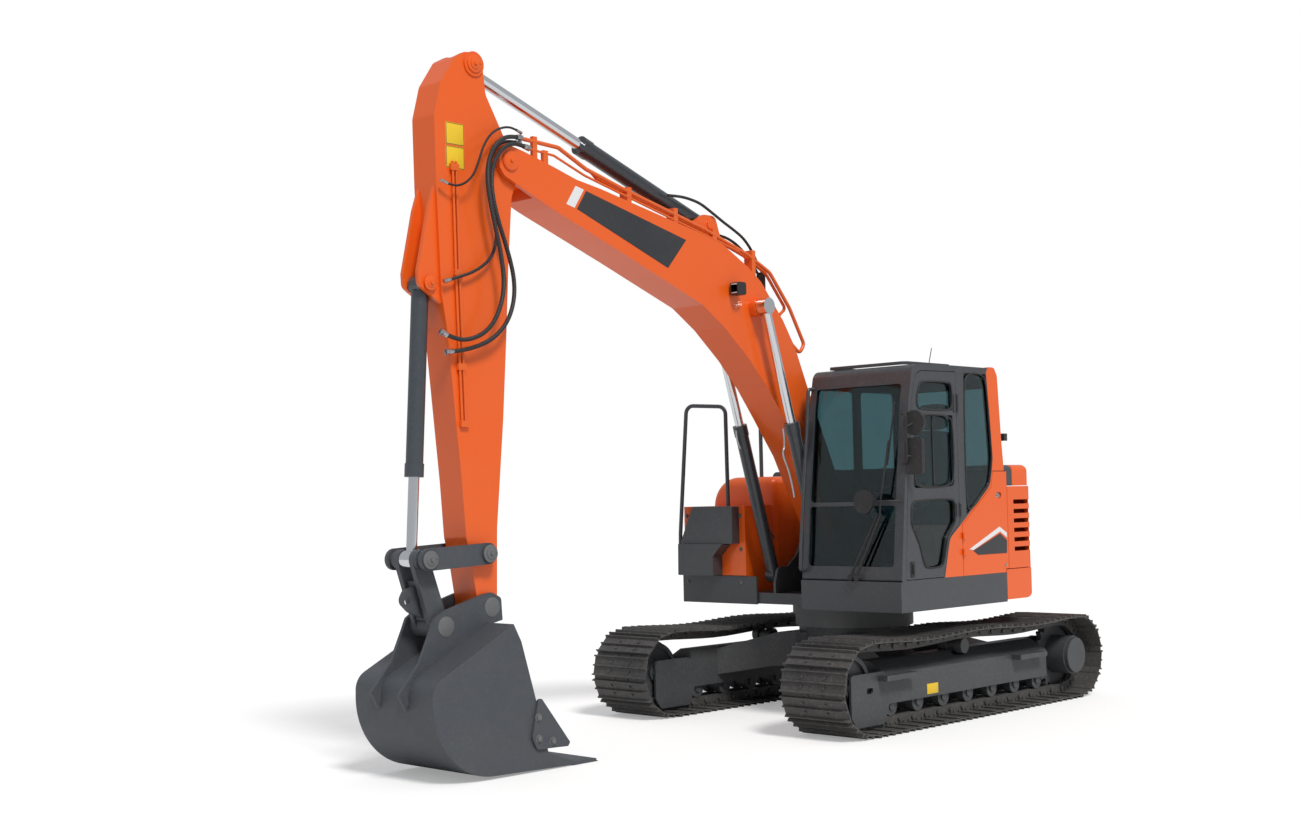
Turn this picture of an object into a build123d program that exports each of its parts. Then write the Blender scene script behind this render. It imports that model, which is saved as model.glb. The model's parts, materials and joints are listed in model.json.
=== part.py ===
from build123d import *
from math import atan2, cos, hypot, pi, radians, sin, sqrt, tan
import os

# Crawler excavator with a short tail, 4.6 m boom and 3.0 m arm
# Millimetres, +Z up, with the origin on the ground under the swing axis
# The front faces -Y and the left side, with the cab, faces +X

os.makedirs("parts", exist_ok=True)

# Tracks
TRACK_GAUGE = 2000
SHOE_WIDTH = 600
SHOE_COUNT = 46
TUMBLER_DISTANCE = 3034
PITCH_RADIUS = 290
LINK_INSIDE = 35
SHOE_SEAT = 42
SHOE_PLATE = 8
GROUSER = 20
TOP_SAG = 26
CHAIN_GAP = 90
CHAIN_ROW = 52
SEAT_GAP = 0.3
TRACK_X = TRACK_GAUGE / 2
AXLE_Z = PITCH_RADIUS + SHOE_SEAT + SHOE_PLATE + GROUSER
AXLE_Y = TUMBLER_DISTANCE / 2
ARC_LENGTH = pi * PITCH_RADIUS
LOOP_LENGTH = 2 * (TUMBLER_DISTANCE + ARC_LENGTH)
SHOE_PITCH = LOOP_LENGTH / SHOE_COUNT

# Track frames
FRAME_INNER = TRACK_X - 135
FRAME_OUTER = TRACK_X + 135
FRAME_WALL = 20
FRAME_TOP = 520
ROLLER_COUNT = 7
ROLLER_RADIUS = 75
ROLLER_LENGTH = 206
ROLLER_STEP = 350
CARRIER_RADIUS = 60

# Car body and slew ring
BODY_BOTTOM = 350
BODY_TOP = 690
RING_RADIUS = 520
RING_BORE = 390
RING_MIDDLE = 790
RING_GAP = 0.5

# House plan and heights
HOUSE_SIDE = 1250
DECK_FRONT = -1056
RIGHT_FRONT = -790
TAIL_RADIUS = 1488
DECK_BOTTOM = 893
DECK_PLATE = 92
DECK_TOP = DECK_BOTTOM + DECK_PLATE
SKIRT_TOP = 1120
SKIRT_END = 430
PANEL = 20
DOOR_SEAM = 468
LOUVRE_END = 940
CASING_BOTTOM = 1150
HOOD_SEAM = 1838
HOOD_TOP = 2010
HOOD_FRONT = 570
SEAM = 6

# Cab
CAB_RIGHT = 285
CAB_LEFT = HOUSE_SIDE
CAB_WALL = 45
CAB_FLOOR = 1180
CAB_ROOF = 2800
GLASS = 8
DOOR_THICKNESS = 40

# Boom group: pin places are (y, z)
BOOM_X = -60
BOOM_HALF = 160
BOOM_FOOT = (-200, 1420)
BOOM_TIP = (-3894, 4141)
BOOM_ROD_PIN = (-1335, 3300)
BOOM_BARREL_PIN = (-655, 1130)
BOOM_CYLINDER_X = 275
ARM_BARREL_PIN = (-1780, 3930)
ARM_ROD_PIN = (-4177, 4775)
ARM_HALF = 118
FORK_INNER = 124
BUCKET_BARREL_PIN = (-4564, 3247)
BUCKET_PIN = (-4121, 1092)
SIDE_LINK_PIN = (-4170, 1452)
TIPPING_PIN = (-4669, 1430)
BUCKET_LINK_PIN = (-4517, 989)
PIN_RADIUS = 38
RUNNING = 0.06
BOOM_BARREL_RADIUS = 54
BOOM_ROD_RADIUS = 36
ARM_BARREL_RADIUS = 68
ARM_ROD_RADIUS = 42
BUCKET_BARREL_RADIUS = 58
BUCKET_ROD_RADIUS = 36
BRACKET_INNER = BOOM_HALF + 8
BRACKET_OUTER = BRACKET_INNER + 25

# Bucket
BUCKET_HALF = 410
BUCKET_WALL = 22
EAR_INNER = 132
EAR_WALL = 28


def side(x):
    """Plane seen from the machine's left, with (y, z) in its sketches."""
    return Plane.YZ.offset(x)


def mitred(points, distance):
    """An open run of points moved sideways, to the right of its direction."""
    moved = []
    for index, (u, v) in enumerate(points):
        normals = []
        for start, end in ((index - 1, index), (index, index + 1)):
            if start < 0 or end >= len(points):
                continue
            du = points[end][0] - points[start][0]
            dv = points[end][1] - points[start][1]
            length = hypot(du, dv)
            normals.append((dv / length, -du / length))
        first, last = normals[0], normals[-1]
        scale = distance / (1 + first[0] * last[0] + first[1] * last[1])
        if len(normals) == 1:
            moved.append((u + first[0] * distance, v + first[1] * distance))
        else:
            moved.append((u + (first[0] + last[0]) * scale, v + (first[1] + last[1]) * scale))
    return moved


def plate(points, radii, x_low, x_high, mode=Mode.ADD):
    """Profile in (y, z) with rounded corners, between two x places."""
    with BuildSketch(side(x_low)) as profile:
        with BuildLine():
            FilletPolyline(*points, radius=radii, close=True)
        make_face()
    extrude(profile.sketch, amount=x_high - x_low, mode=mode)


def slab(points, radii, z_low, z_high, mode=Mode.ADD):
    """Profile in (x, y) with rounded corners, between two heights."""
    with BuildSketch(Plane.XY.offset(z_low)) as profile:
        with BuildLine():
            FilletPolyline(*points, radius=radii, close=True)
        make_face()
    extrude(profile.sketch, amount=z_high - z_low, mode=mode)


def frontal(points, radii, y_low, y_high, mode=Mode.ADD):
    """Profile in (x, z) with rounded corners, between two y places."""
    with BuildSketch(Plane.XZ.offset(-y_high)) as profile:
        with BuildLine():
            FilletPolyline(*points, radius=radii, close=True)
        make_face()
    extrude(profile.sketch, amount=y_high - y_low, mode=mode)


def shaft(pin, radius, x_low, x_high, mode=Mode.ADD):
    """Round bar along X around a (y, z) place."""
    with BuildSketch(side(x_low)) as profile:
        with Locations(pin):
            Circle(radius)
    extrude(profile.sketch, amount=x_high - x_low, mode=mode)


def rectangle(u_low, u_high, v_low, v_high):
    """Corner points of an upright rectangle."""
    return [(u_low, v_low), (u_high, v_low), (u_high, v_high), (u_low, v_high)]


def along(start, end, radius, first, last, x, mode=Mode.ADD):
    """Round bar in the plane x, from first to last millimetres along the run from start to end."""
    length = hypot(end[0] - start[0], end[1] - start[1])
    direction = Vector(0, (end[0] - start[0]) / length, (end[1] - start[1]) / length)
    origin = Vector(x, start[0], start[1]) + direction * first
    with BuildSketch(Plane(origin=origin, x_dir=(1, 0, 0), z_dir=direction)) as profile:
        Circle(radius)
    extrude(profile.sketch, amount=last - first, mode=mode)


def distance(start, end):
    """Straight distance between two (y, z) places."""
    return hypot(end[0] - start[0], end[1] - start[1])


# Track loop
def chain_point(travel):
    """Place on the pitch line, (y, z), at a distance along the loop from its front bottom."""
    travel %= LOOP_LENGTH
    if travel < TUMBLER_DISTANCE:
        return (travel - AXLE_Y, AXLE_Z - PITCH_RADIUS)
    travel -= TUMBLER_DISTANCE
    if travel < ARC_LENGTH:
        angle = travel / PITCH_RADIUS
        return (AXLE_Y + PITCH_RADIUS * sin(angle), AXLE_Z - PITCH_RADIUS * cos(angle))
    travel -= ARC_LENGTH
    if travel < TUMBLER_DISTANCE:
        sag = TOP_SAG * sin(2 * pi * travel / TUMBLER_DISTANCE) ** 2
        return (AXLE_Y - travel, AXLE_Z + PITCH_RADIUS - sag)
    angle = (travel - TUMBLER_DISTANCE) / PITCH_RADIUS
    return (-AXLE_Y - PITCH_RADIUS * sin(angle), AXLE_Z + PITCH_RADIUS * cos(angle))


CHAIN_PINS = [chain_point(SHOE_PITCH * (index + 0.5)) for index in range(SHOE_COUNT)]
GROUSER_FOOT = 9
GROUSER_TIP = 4
SHOE_SLIT = 2
HALF_SHOE = SHOE_PITCH / 2 - SHOE_SLIT
SHOE_OUTLINE = [
    (-HALF_SHOE, 0),
    (HALF_SHOE, 0),
    (HALF_SHOE, SHOE_PLATE + GROUSER),
    (HALF_SHOE - 2 * GROUSER_TIP, SHOE_PLATE + GROUSER),
    (HALF_SHOE - 2 * GROUSER_FOOT, SHOE_PLATE),
    (GROUSER_FOOT, SHOE_PLATE),
    (GROUSER_TIP, SHOE_PLATE + GROUSER),
    (-GROUSER_TIP, SHOE_PLATE + GROUSER),
    (-GROUSER_FOOT, SHOE_PLATE),
    (2 * GROUSER_FOOT - HALF_SHOE, SHOE_PLATE),
    (2 * GROUSER_TIP - HALF_SHOE, SHOE_PLATE + GROUSER),
    (-HALF_SHOE, SHOE_PLATE + GROUSER),
]


def shoe_points(index):
    """Outline of one triple-grouser shoe, in (y, z)."""
    y0, z0 = CHAIN_PINS[index - 1]
    y1, z1 = CHAIN_PINS[index]
    length = hypot(y1 - y0, z1 - z0)
    ty, tz = (y1 - y0) / length, (z1 - z0) / length
    middle_y, middle_z = (y0 + y1) / 2, (z0 + z1) / 2
    placed = []
    for run, rise in SHOE_OUTLINE:
        out = SHOE_SEAT + rise
        placed.append((middle_y + ty * run + tz * out, middle_z + tz * run - ty * out))
    return placed


def chain_outline(offset):
    """Closed polygon beside the pitch line, with corners only where the chain bends."""
    count = len(CHAIN_PINS)
    ring = CHAIN_PINS[-1:] + CHAIN_PINS + CHAIN_PINS[:1]
    corners = []
    for index in range(1, count + 1):
        (y0, z0), (y1, z1), (y2, z2) = ring[index - 1], ring[index], ring[index + 1]
        turn = atan2(z2 - z1, y2 - y1) - atan2(z1 - z0, y1 - y0)
        if abs(sin(turn)) > 0.001:
            corners.append(mitred([(y0, z0), (y1, z1), (y2, z2)], offset)[1])
    return corners


def closed_face(points):
    """Separate face inside a closed run of corners."""
    return Face(Wire.make_polygon(points, close=True))


with BuildPart() as track_left:
    with BuildSketch(side(TRACK_X - SHOE_WIDTH / 2)) as shoes:
        add([closed_face(shoe_points(index)) for index in range(SHOE_COUNT)])
    extrude(amount=SHOE_WIDTH)
    for row in (-1, 1):
        with BuildSketch(side(TRACK_X + row * CHAIN_GAP / 2)) as links:
            add(closed_face(chain_outline(SHOE_SEAT + 1)))
            add(closed_face(chain_outline(-LINK_INSIDE)), mode=Mode.SUBTRACT)
        extrude(amount=row * CHAIN_ROW)
track_left.part.label = "track_left"
export_step(track_left.part, "parts/track_left.step")

with BuildPart() as track_right:
    add(mirror(track_left.part, about=Plane.YZ, mode=Mode.PRIVATE))
track_right.part.label = "track_right"
export_step(track_right.part, "parts/track_right.step")

# Running gear inside each track
RAIL_RADIUS = PITCH_RADIUS * cos(SHOE_PITCH / PITCH_RADIUS / 2) - LINK_INSIDE - SEAT_GAP
IDLER_FLANGE = RAIL_RADIUS + 20
FLANGE_HALF = CHAIN_GAP / 2 - 5
BOTTOM_RAIL = AXLE_Z - PITCH_RADIUS + LINK_INSIDE
TOP_RAIL = AXLE_Z + PITCH_RADIUS - LINK_INSIDE
ROLLER_Z = BOTTOM_RAIL + SEAT_GAP + ROLLER_RADIUS
CARRIER_Z = TOP_RAIL - 4 * SEAT_GAP - CARRIER_RADIUS
ROLLER_PLACES = [(index - (ROLLER_COUNT - 1) / 2) * ROLLER_STEP + 25 for index in range(ROLLER_COUNT)]
TREAD_HALF = ROLLER_LENGTH / 2
AXLE_RADIUS = 32
SPROCKET_TEETH = 21
SPROCKET_ROOT = 262
SPROCKET_TIP = 298
DRIVE_RADIUS = 165
DRIVE_OUT = 240
COVER_RADIUS = 150


def wheel(centre, x, radius, half_width, groove_radius, groove_half):
    """Roller with two treads and a groove between them."""
    shaft(centre, radius, x - half_width, x - groove_half)
    shaft(centre, radius, x + groove_half, x + half_width)
    shaft(centre, groove_radius, x - groove_half, x + groove_half)


with BuildPart() as idlers:
    for track_x in (-TRACK_X, TRACK_X):
        wheel((-AXLE_Y, AXLE_Z), track_x, RAIL_RADIUS, 98, IDLER_FLANGE, FLANGE_HALF)
        for face in (-1, 1):
            ring = track_x + face * 98
            shaft((-AXLE_Y, AXLE_Z), RAIL_RADIUS - 35, ring, ring - face * 25, Mode.SUBTRACT)
            shaft((-AXLE_Y, AXLE_Z), 70, ring, ring - face * 30)
            shaft((-AXLE_Y, AXLE_Z), 45, ring, track_x + face * (135 - FRAME_WALL))
idlers.part.label = "idlers"
export_step(idlers.part, "parts/idlers.step")

with BuildPart() as sprockets:
    for track_x in (-TRACK_X, TRACK_X):
        with BuildSketch(side(track_x - 22)) as teeth:
            with Locations((AXLE_Y, AXLE_Z)):
                Circle(SPROCKET_ROOT)
                with PolarLocations((SPROCKET_ROOT + SPROCKET_TIP) / 2 - 4, SPROCKET_TEETH):
                    Trapezoid(50, SPROCKET_TIP - SPROCKET_ROOT + 8, 70, rotation=-90)
        extrude(amount=44)
        outward = 1 if track_x > 0 else -1
        shaft((AXLE_Y, AXLE_Z), DRIVE_RADIUS, track_x + outward * 22, track_x + outward * (DRIVE_OUT - 35))
        shaft(
            (AXLE_Y, AXLE_Z),
            COVER_RADIUS,
            track_x + outward * (DRIVE_OUT - 35),
            track_x + outward * DRIVE_OUT,
        )
sprockets.part.label = "sprockets"
export_step(sprockets.part, "parts/sprockets.step")

with BuildPart() as track_rollers:
    for track_x in (-TRACK_X, TRACK_X):
        for place in ROLLER_PLACES:
            wheel((place, ROLLER_Z), track_x, ROLLER_RADIUS, TREAD_HALF, ROLLER_RADIUS - 15, FLANGE_HALF)
            shaft((place, ROLLER_Z), AXLE_RADIUS, track_x - 135 + FRAME_WALL, track_x + 135 - FRAME_WALL)
track_rollers.part.label = "track_rollers"
export_step(track_rollers.part, "parts/track_rollers.step")

with BuildPart() as carrier_rollers:
    for track_x in (-TRACK_X, TRACK_X):
        wheel((0, CARRIER_Z), track_x, CARRIER_RADIUS, TREAD_HALF, CARRIER_RADIUS - 14, FLANGE_HALF)
        inward = -1 if track_x > 0 else 1
        inner_end = track_x + inward * (TREAD_HALF + 28)
        shaft((0, CARRIER_Z), AXLE_RADIUS, track_x + inward * TREAD_HALF, inner_end)
        bracket = rectangle(-45, 45, FRAME_TOP, CARRIER_Z + 20)
        low, high = sorted((inner_end, inner_end - inward * 22))
        plate(bracket, 12, low, high)
carrier_rollers.part.label = "carrier_rollers"
export_step(carrier_rollers.part, "parts/carrier_rollers.step")

# Track frames: channel beam, idler fork and drive mount
BEAM_FRONT = -1130
BEAM_BACK = 1190
BEAM_FLOOR = 272
SKIRT_LOW = 205
SHELF = 430
NOSE_FRONT = -1560
NOSE_BOTTOM = 62
NOSE_TOP = 455
STEP_PLACES = ((-1230, -820), (640, 1060))
for label, hand in (("left", 1), ("right", -1)):
    inner, outer = FRAME_INNER, FRAME_OUTER
    with BuildPart() as track_frame:
        section = [
            (hand * inner, SKIRT_LOW),
            (hand * (inner + FRAME_WALL), SKIRT_LOW),
            (hand * (inner + FRAME_WALL), BEAM_FLOOR),
            (hand * (outer - FRAME_WALL), BEAM_FLOOR),
            (hand * (outer - FRAME_WALL), SKIRT_LOW),
            (hand * outer, SKIRT_LOW),
            (hand * outer, SHELF),
            (hand * (inner + 120), FRAME_TOP),
            (hand * inner, FRAME_TOP),
        ]
        frontal(section, 0, BEAM_FRONT, BEAM_BACK)
        nose = [
            (NOSE_FRONT, NOSE_BOTTOM + 80),
            (NOSE_FRONT + 60, NOSE_BOTTOM),
            (BEAM_FRONT - 20, NOSE_BOTTOM),
            (BEAM_FRONT + 60, SKIRT_LOW + 40),
            (BEAM_FRONT + 60, NOSE_TOP - 30),
            (BEAM_FRONT - 40, NOSE_TOP),
            (NOSE_FRONT, NOSE_TOP),
        ]
        for wall in (inner, outer - FRAME_WALL):
            low, high = sorted((hand * wall, hand * (wall + FRAME_WALL)))
            plate(nose, (20, 30, 20, 0, 0, 20, 30), low, high)
        low, high = sorted((hand * inner, hand * (inner + FRAME_WALL)))
        drive_mount = [
            (BEAM_BACK - 40, SKIRT_LOW),
            (AXLE_Y + 60, AXLE_Z - 150),
            (AXLE_Y + 150, AXLE_Z),
            (AXLE_Y + 60, AXLE_Z + 150),
            (BEAM_BACK - 40, FRAME_TOP),
        ]
        plate(drive_mount, (0, 120, 110, 120, 0), low, high)
        low, high = sorted((hand * (inner - 70), hand * (TRACK_X - 22 - SEAT_GAP)))
        shaft((AXLE_Y, AXLE_Z), COVER_RADIUS, low, high)
        low, high = sorted((hand * (outer - 4), hand * (outer + 90)))
        for start, end in STEP_PLACES:
            step = [
                (start, SHELF - 40),
                (end, SHELF - 40),
                (end, SHELF),
                (start, SHELF),
            ]
            plate(step, 0, low, high)
        notch = rectangle(
            -CARRIER_RADIUS - 15,
            CARRIER_RADIUS + 15,
            CARRIER_Z - CARRIER_RADIUS - 15,
            FRAME_TOP + 20,
        )
        low, high = sorted((hand * (inner + 30), hand * (outer + 5)))
        plate(notch, 0, low, high, Mode.SUBTRACT)
        hole = rectangle(NOSE_FRONT + 190, NOSE_FRONT + 270, 300, 345)
        low, high = sorted((hand * (outer - FRAME_WALL - 5), hand * (outer + 5)))
        plate(hole, 18, low, high, Mode.SUBTRACT)
    track_frame.part.label = f"track_frame_{label}"
    export_step(track_frame.part, f"parts/track_frame_{label}.step")

# Car body: four legs from a middle tub to the track frames
LEG_NEAR = 330
LEG_FAR = 800
TUB_RADIUS = 470
EYE_Y = 690
EYE_Z = 430
EYE_HOLE = 26
EYE_THICKNESS = 36
with BuildPart() as carbody:
    legs = [
        (-FRAME_INNER, -LEG_FAR),
        (-300, -TUB_RADIUS + 30),
        (300, -TUB_RADIUS + 30),
        (FRAME_INNER, -LEG_FAR),
        (FRAME_INNER, -LEG_NEAR),
        (TUB_RADIUS, 0),
        (FRAME_INNER, LEG_NEAR),
        (FRAME_INNER, LEG_FAR),
        (300, TUB_RADIUS - 30),
        (-300, TUB_RADIUS - 30),
        (-FRAME_INNER, LEG_FAR),
        (-FRAME_INNER, LEG_NEAR),
        (-TUB_RADIUS, 0),
        (-FRAME_INNER, -LEG_NEAR),
    ]
    slab(legs, (0, 120, 120, 0, 0, 120, 0, 0, 120, 120, 0, 0, 120, 0), BEAM_FLOOR, BODY_TOP)
    taper = [
        (-FRAME_INNER, BEAM_FLOOR + 8),
        (-TUB_RADIUS, BODY_BOTTOM),
        (TUB_RADIUS, BODY_BOTTOM),
        (FRAME_INNER, BEAM_FLOOR + 8),
        (FRAME_INNER, FRAME_TOP - 20),
        (TUB_RADIUS - 60, BODY_TOP - 50),
        (60 - TUB_RADIUS, BODY_TOP - 50),
        (-FRAME_INNER, FRAME_TOP - 20),
    ]
    frontal(taper, 0, -LEG_FAR - 10, LEG_FAR + 10, Mode.INTERSECT)
    with BuildSketch(Plane.XY.offset(BODY_BOTTOM)):
        Circle(TUB_RADIUS)
    extrude(amount=BODY_TOP - BODY_BOTTOM)
    for end in (-1, 1):
        eye = [
            (-90, end * (TUB_RADIUS - 60)),
            (-70, end * EYE_Y),
            (0, end * (EYE_Y + 70)),
            (70, end * EYE_Y),
            (90, end * (TUB_RADIUS - 60)),
        ]
        slab(eye, (0, 30, 40, 30, 0), EYE_Z - EYE_THICKNESS / 2, EYE_Z + EYE_THICKNESS / 2)
        with BuildSketch(Plane.XY.offset(BEAM_FLOOR)) as eye_hole:
            with Locations((0, end * EYE_Y)):
                Circle(EYE_HOLE)
        extrude(eye_hole.sketch, amount=BODY_TOP - BEAM_FLOOR, mode=Mode.SUBTRACT)
carbody.part.label = "carbody"
export_step(carbody.part, "parts/carbody.step")

with BuildPart() as slew_ring_lower:
    with BuildSketch(Plane.XY.offset(BODY_TOP)):
        Circle(RING_RADIUS - 20)
        Circle(RING_BORE, mode=Mode.SUBTRACT)
    extrude(amount=RING_MIDDLE - BODY_TOP)
slew_ring_lower.part.label = "slew_ring_lower"
export_step(slew_ring_lower.part, "parts/slew_ring_lower.step")

with BuildPart() as slew_ring_upper:
    with BuildSketch(Plane.XY.offset(RING_MIDDLE + RING_GAP)):
        Circle(RING_RADIUS)
        Circle(RING_BORE, mode=Mode.SUBTRACT)
    extrude(amount=DECK_BOTTOM - RING_MIDDLE - RING_GAP)
slew_ring_upper.part.label = "slew_ring_upper"
export_step(slew_ring_upper.part, "parts/slew_ring_upper.step")


HINGE_X = HOUSE_SIDE + 14
KNUCKLE = 13


def upright_hinge(hand, hinge_y, leaf_end, places):
    """Knuckles on an upright axis beside a side wall, each with its leaf on the door."""
    for low, high in places:
        with BuildSketch(Plane.XY.offset(low)) as profile:
            with Locations((hand * HINGE_X, hinge_y)):
                Circle(KNUCKLE)
        extrude(profile.sketch, amount=high - low)
        face, top = sorted((hand * HOUSE_SIDE, hand * (HOUSE_SIDE + 8)))
        near, far = sorted((hinge_y, leaf_end))
        slab(rectangle(face, top, near, far), 0, low, high)


# House plan: straight sides and a round tail about the swing axis
def tail_y(x, radius=TAIL_RADIUS):
    """Where the round tail meets a line at x."""
    return sqrt(radius * radius - x * x)


def house_plan(inset, mode=Mode.ADD):
    """Outline of the house, moved in by an inset, as a face in the current sketch."""
    sideways = HOUSE_SIDE - inset
    radius = TAIL_RADIUS - inset
    back = tail_y(sideways, radius)
    step_x = CAB_RIGHT - 3 + inset
    with BuildLine() as outline:
        Polyline(
            (sideways, back),
            (sideways, DECK_FRONT + inset),
            (step_x, DECK_FRONT + inset),
            (step_x, RIGHT_FRONT + inset),
            (-sideways, RIGHT_FRONT + inset),
            (-sideways, back),
        )
        ThreePointArc((-sideways, back), (0, radius), (sideways, back))
    make_face(outline.line.edges(), mode=mode)


def band(y_low, y_high):
    """Wide rectangle between two y places, to cut a plan to a stretch."""
    with Locations((0, (y_low + y_high) / 2)):
        Rectangle(4 * HOUSE_SIDE, y_high - y_low, mode=Mode.INTERSECT)


FOOT_BOSS = 118
with BuildPart() as deck_frame:
    with BuildSketch(Plane.XY.offset(DECK_BOTTOM)) as deck_plan:
        house_plan(PANEL + 1)
        band(DECK_FRONT, SKIRT_END - 5)
    extrude(amount=DECK_PLATE)
    bracket_outline = [
        (-760, DECK_TOP - 60),
        (-760, 1070),
        (-720, 1200),
        (-590, 1200),
        (-470, 1290),
        (-330, 1500),
        (-250, BOOM_FOOT[1] + FOOT_BOSS),
        (-130, BOOM_FOOT[1] + FOOT_BOSS),
        (-40, 1400),
        (200, 1150),
        (400, DECK_TOP),
        (400, DECK_TOP - 60),
    ]
    for hand in (-1, 1):
        low, high = sorted((BOOM_X + hand * BRACKET_INNER, BOOM_X + hand * BRACKET_OUTER))
        plate(bracket_outline, (0, 30, 60, 60, 60, 90, 60, 60, 90, 60, 0, 0), low, high)
        start = BOOM_X + hand * BRACKET_OUTER
        end = BOOM_X + hand * (BOOM_CYLINDER_X + 48)
        low, high = sorted((start, end))
        shaft(BOOM_BARREL_PIN, PIN_RADIUS, low, high)
    shaft(BOOM_FOOT, PIN_RADIUS + 8, BOOM_X - BRACKET_OUTER - 12, BOOM_X + BRACKET_OUTER + 12)
    for x in (CAB_RIGHT + 110, CAB_LEFT - 130):
        for y in (-880, 180):
            with BuildSketch(Plane.XY.offset(DECK_TOP)):
                with Locations((x, y)):
                    Circle(55)
            extrude(amount=SKIRT_TOP - DECK_TOP)
deck_frame.part.label = "deck_frame"
export_step(deck_frame.part, "parts/deck_frame.step")

SKIRT_LOW_EDGE = DECK_BOTTOM - 6
with BuildPart() as base_skirts:
    with BuildSketch(Plane.XY.offset(SKIRT_LOW_EDGE)) as skirt_plan:
        house_plan(0)
        house_plan(PANEL, Mode.SUBTRACT)
        band(DECK_FRONT - 5, SKIRT_END - 3)
        gap_low, gap_high = BOOM_X - BRACKET_OUTER - 160, CAB_RIGHT - 3
        with Locations(((gap_low + gap_high) / 2, RIGHT_FRONT)):
            Rectangle(gap_high - gap_low, 200, mode=Mode.SUBTRACT)
    extrude(amount=SKIRT_TOP - SKIRT_LOW_EDGE)
base_skirts.part.label = "base_skirts"
export_step(base_skirts.part, "parts/base_skirts.step")

# Tail: cast counterweight, louvred side panels, hood and bulkhead
with BuildPart() as counterweight:
    with BuildSketch(Plane.XY.offset(DECK_BOTTOM + 10)) as low_plan:
        house_plan(0)
        band(SKIRT_END, TAIL_RADIUS + 10)
    extrude(amount=CASING_BOTTOM - DECK_BOTTOM - 10)
    with BuildSketch(Plane.XY.offset(CASING_BOTTOM)) as high_plan:
        house_plan(12)
        band(LOUVRE_END + SEAM, TAIL_RADIUS + 10)
    extrude(amount=HOOD_SEAM - SEAM - CASING_BOTTOM)
    fillet(counterweight.edges().group_by(Axis.Z)[0].sort_by(Axis.Y)[-1], 45)
counterweight.part.label = "counterweight"
export_step(counterweight.part, "parts/counterweight.step")

LOUVRE_COUNT = 6
LOUVRE_LOW = 1295
LOUVRE_STEP = 78
LOUVRE_HEIGHT = 36
CASING_WALL = 35


def casing(bottom, top, low_y, high_y):
    """Curved wall of the engine bay on both sides, between two heights."""
    with BuildSketch(Plane.XY.offset(bottom)) as wall_plan:
        house_plan(4)
        house_plan(4 + CASING_WALL, Mode.SUBTRACT)
        band(low_y, high_y)
    extrude(wall_plan.sketch, amount=top - bottom)


def keep_side(hand):
    """Keep only one side of the current part."""
    half = 2 * HOUSE_SIDE
    with BuildSketch(Plane.XY) as halves:
        with Locations((hand * half / 2, 0)):
            Rectangle(half - 4, 4 * HOUSE_SIDE)
    extrude(halves.sketch, amount=3 * HOUSE_SIDE, mode=Mode.INTERSECT)


def louvres(hand):
    """Slots through a side wall of the engine bay."""
    for index in range(LOUVRE_COUNT):
        low = LOUVRE_LOW + index * LOUVRE_STEP
        slot = rectangle(565, LOUVRE_END - 60, low, low + LOUVRE_HEIGHT)
        start, end = sorted((hand * 900, hand * (HOUSE_SIDE + 20)))
        plate(slot, 6, start, end, Mode.SUBTRACT)


for label, hand in (("louvre_panel_left", 1), ("right_door", -1)):
    with BuildPart() as louvre_panel:
        casing(CASING_BOTTOM + SEAM, HOOD_SEAM - SEAM, DOOR_SEAM + SEAM, LOUVRE_END)
        keep_side(hand)
        louvres(hand)
        if hand < 0:
            upright_hinge(-1, DOOR_SEAM, DOOR_SEAM + 60, ((1240, 1330), (1660, 1750)))
    louvre_panel.part.label = label
    export_step(louvre_panel.part, f"parts/{label}.step")

HOOD_WALL = 20
with BuildPart() as engine_hood:
    with BuildSketch(Plane.XY.offset(HOOD_SEAM)) as hood_plan:
        house_plan(14)
        band(HOOD_FRONT, TAIL_RADIUS + 10)
    extrude(amount=HOOD_TOP - HOOD_SEAM)
    fillet(engine_hood.edges().group_by(Axis.Z)[-1], 55)
    offset(amount=-HOOD_WALL, openings=engine_hood.faces().sort_by(Axis.Z)[0])
    for x in (-660, 660):
        shaft((HOOD_FRONT - 3, HOOD_TOP + 11), 10, x - 45, x + 45)
        plate(rectangle(HOOD_FRONT - 3, HOOD_FRONT + 60, HOOD_TOP - 2, HOOD_TOP + 8), 0, x - 45, x + 45)
engine_hood.part.label = "engine_hood"
export_step(engine_hood.part, "parts/engine_hood.step")

COWL_FRONT = 440
LEFT_DOOR_TOP = 1955
with BuildPart() as bulkhead:
    slab(
        rectangle(-HOUSE_SIDE + 40, HOUSE_SIDE - 50, COWL_FRONT, COWL_FRONT + 22),
        0,
        CASING_BOTTOM,
        HOOD_SEAM,
    )
    with BuildSketch(Plane.XY.offset(HOOD_SEAM)) as cowl_plan:
        house_plan(14)
        band(COWL_FRONT, HOOD_FRONT - SEAM)
    extrude(amount=HOOD_TOP - HOOD_SEAM)
    fillet(bulkhead.edges().filter_by(Axis.Y).group_by(Axis.Z)[-1], 55)
    door_notch = rectangle(HOUSE_SIDE - 46, HOUSE_SIDE + 5, COWL_FRONT - 5, DOOR_SEAM)
    slab(door_notch, 0, CASING_BOTTOM - 5, LEFT_DOOR_TOP + SEAM, Mode.SUBTRACT)
bulkhead.part.label = "bulkhead"
export_step(bulkhead.part, "parts/bulkhead.step")

with BuildPart() as engine_block:
    slab(rectangle(-480, 420, 520, 900), 20, CASING_BOTTOM, 1750)
engine_block.part.label = "engine_block"
export_step(engine_block.part, "parts/engine_block.step")

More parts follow.
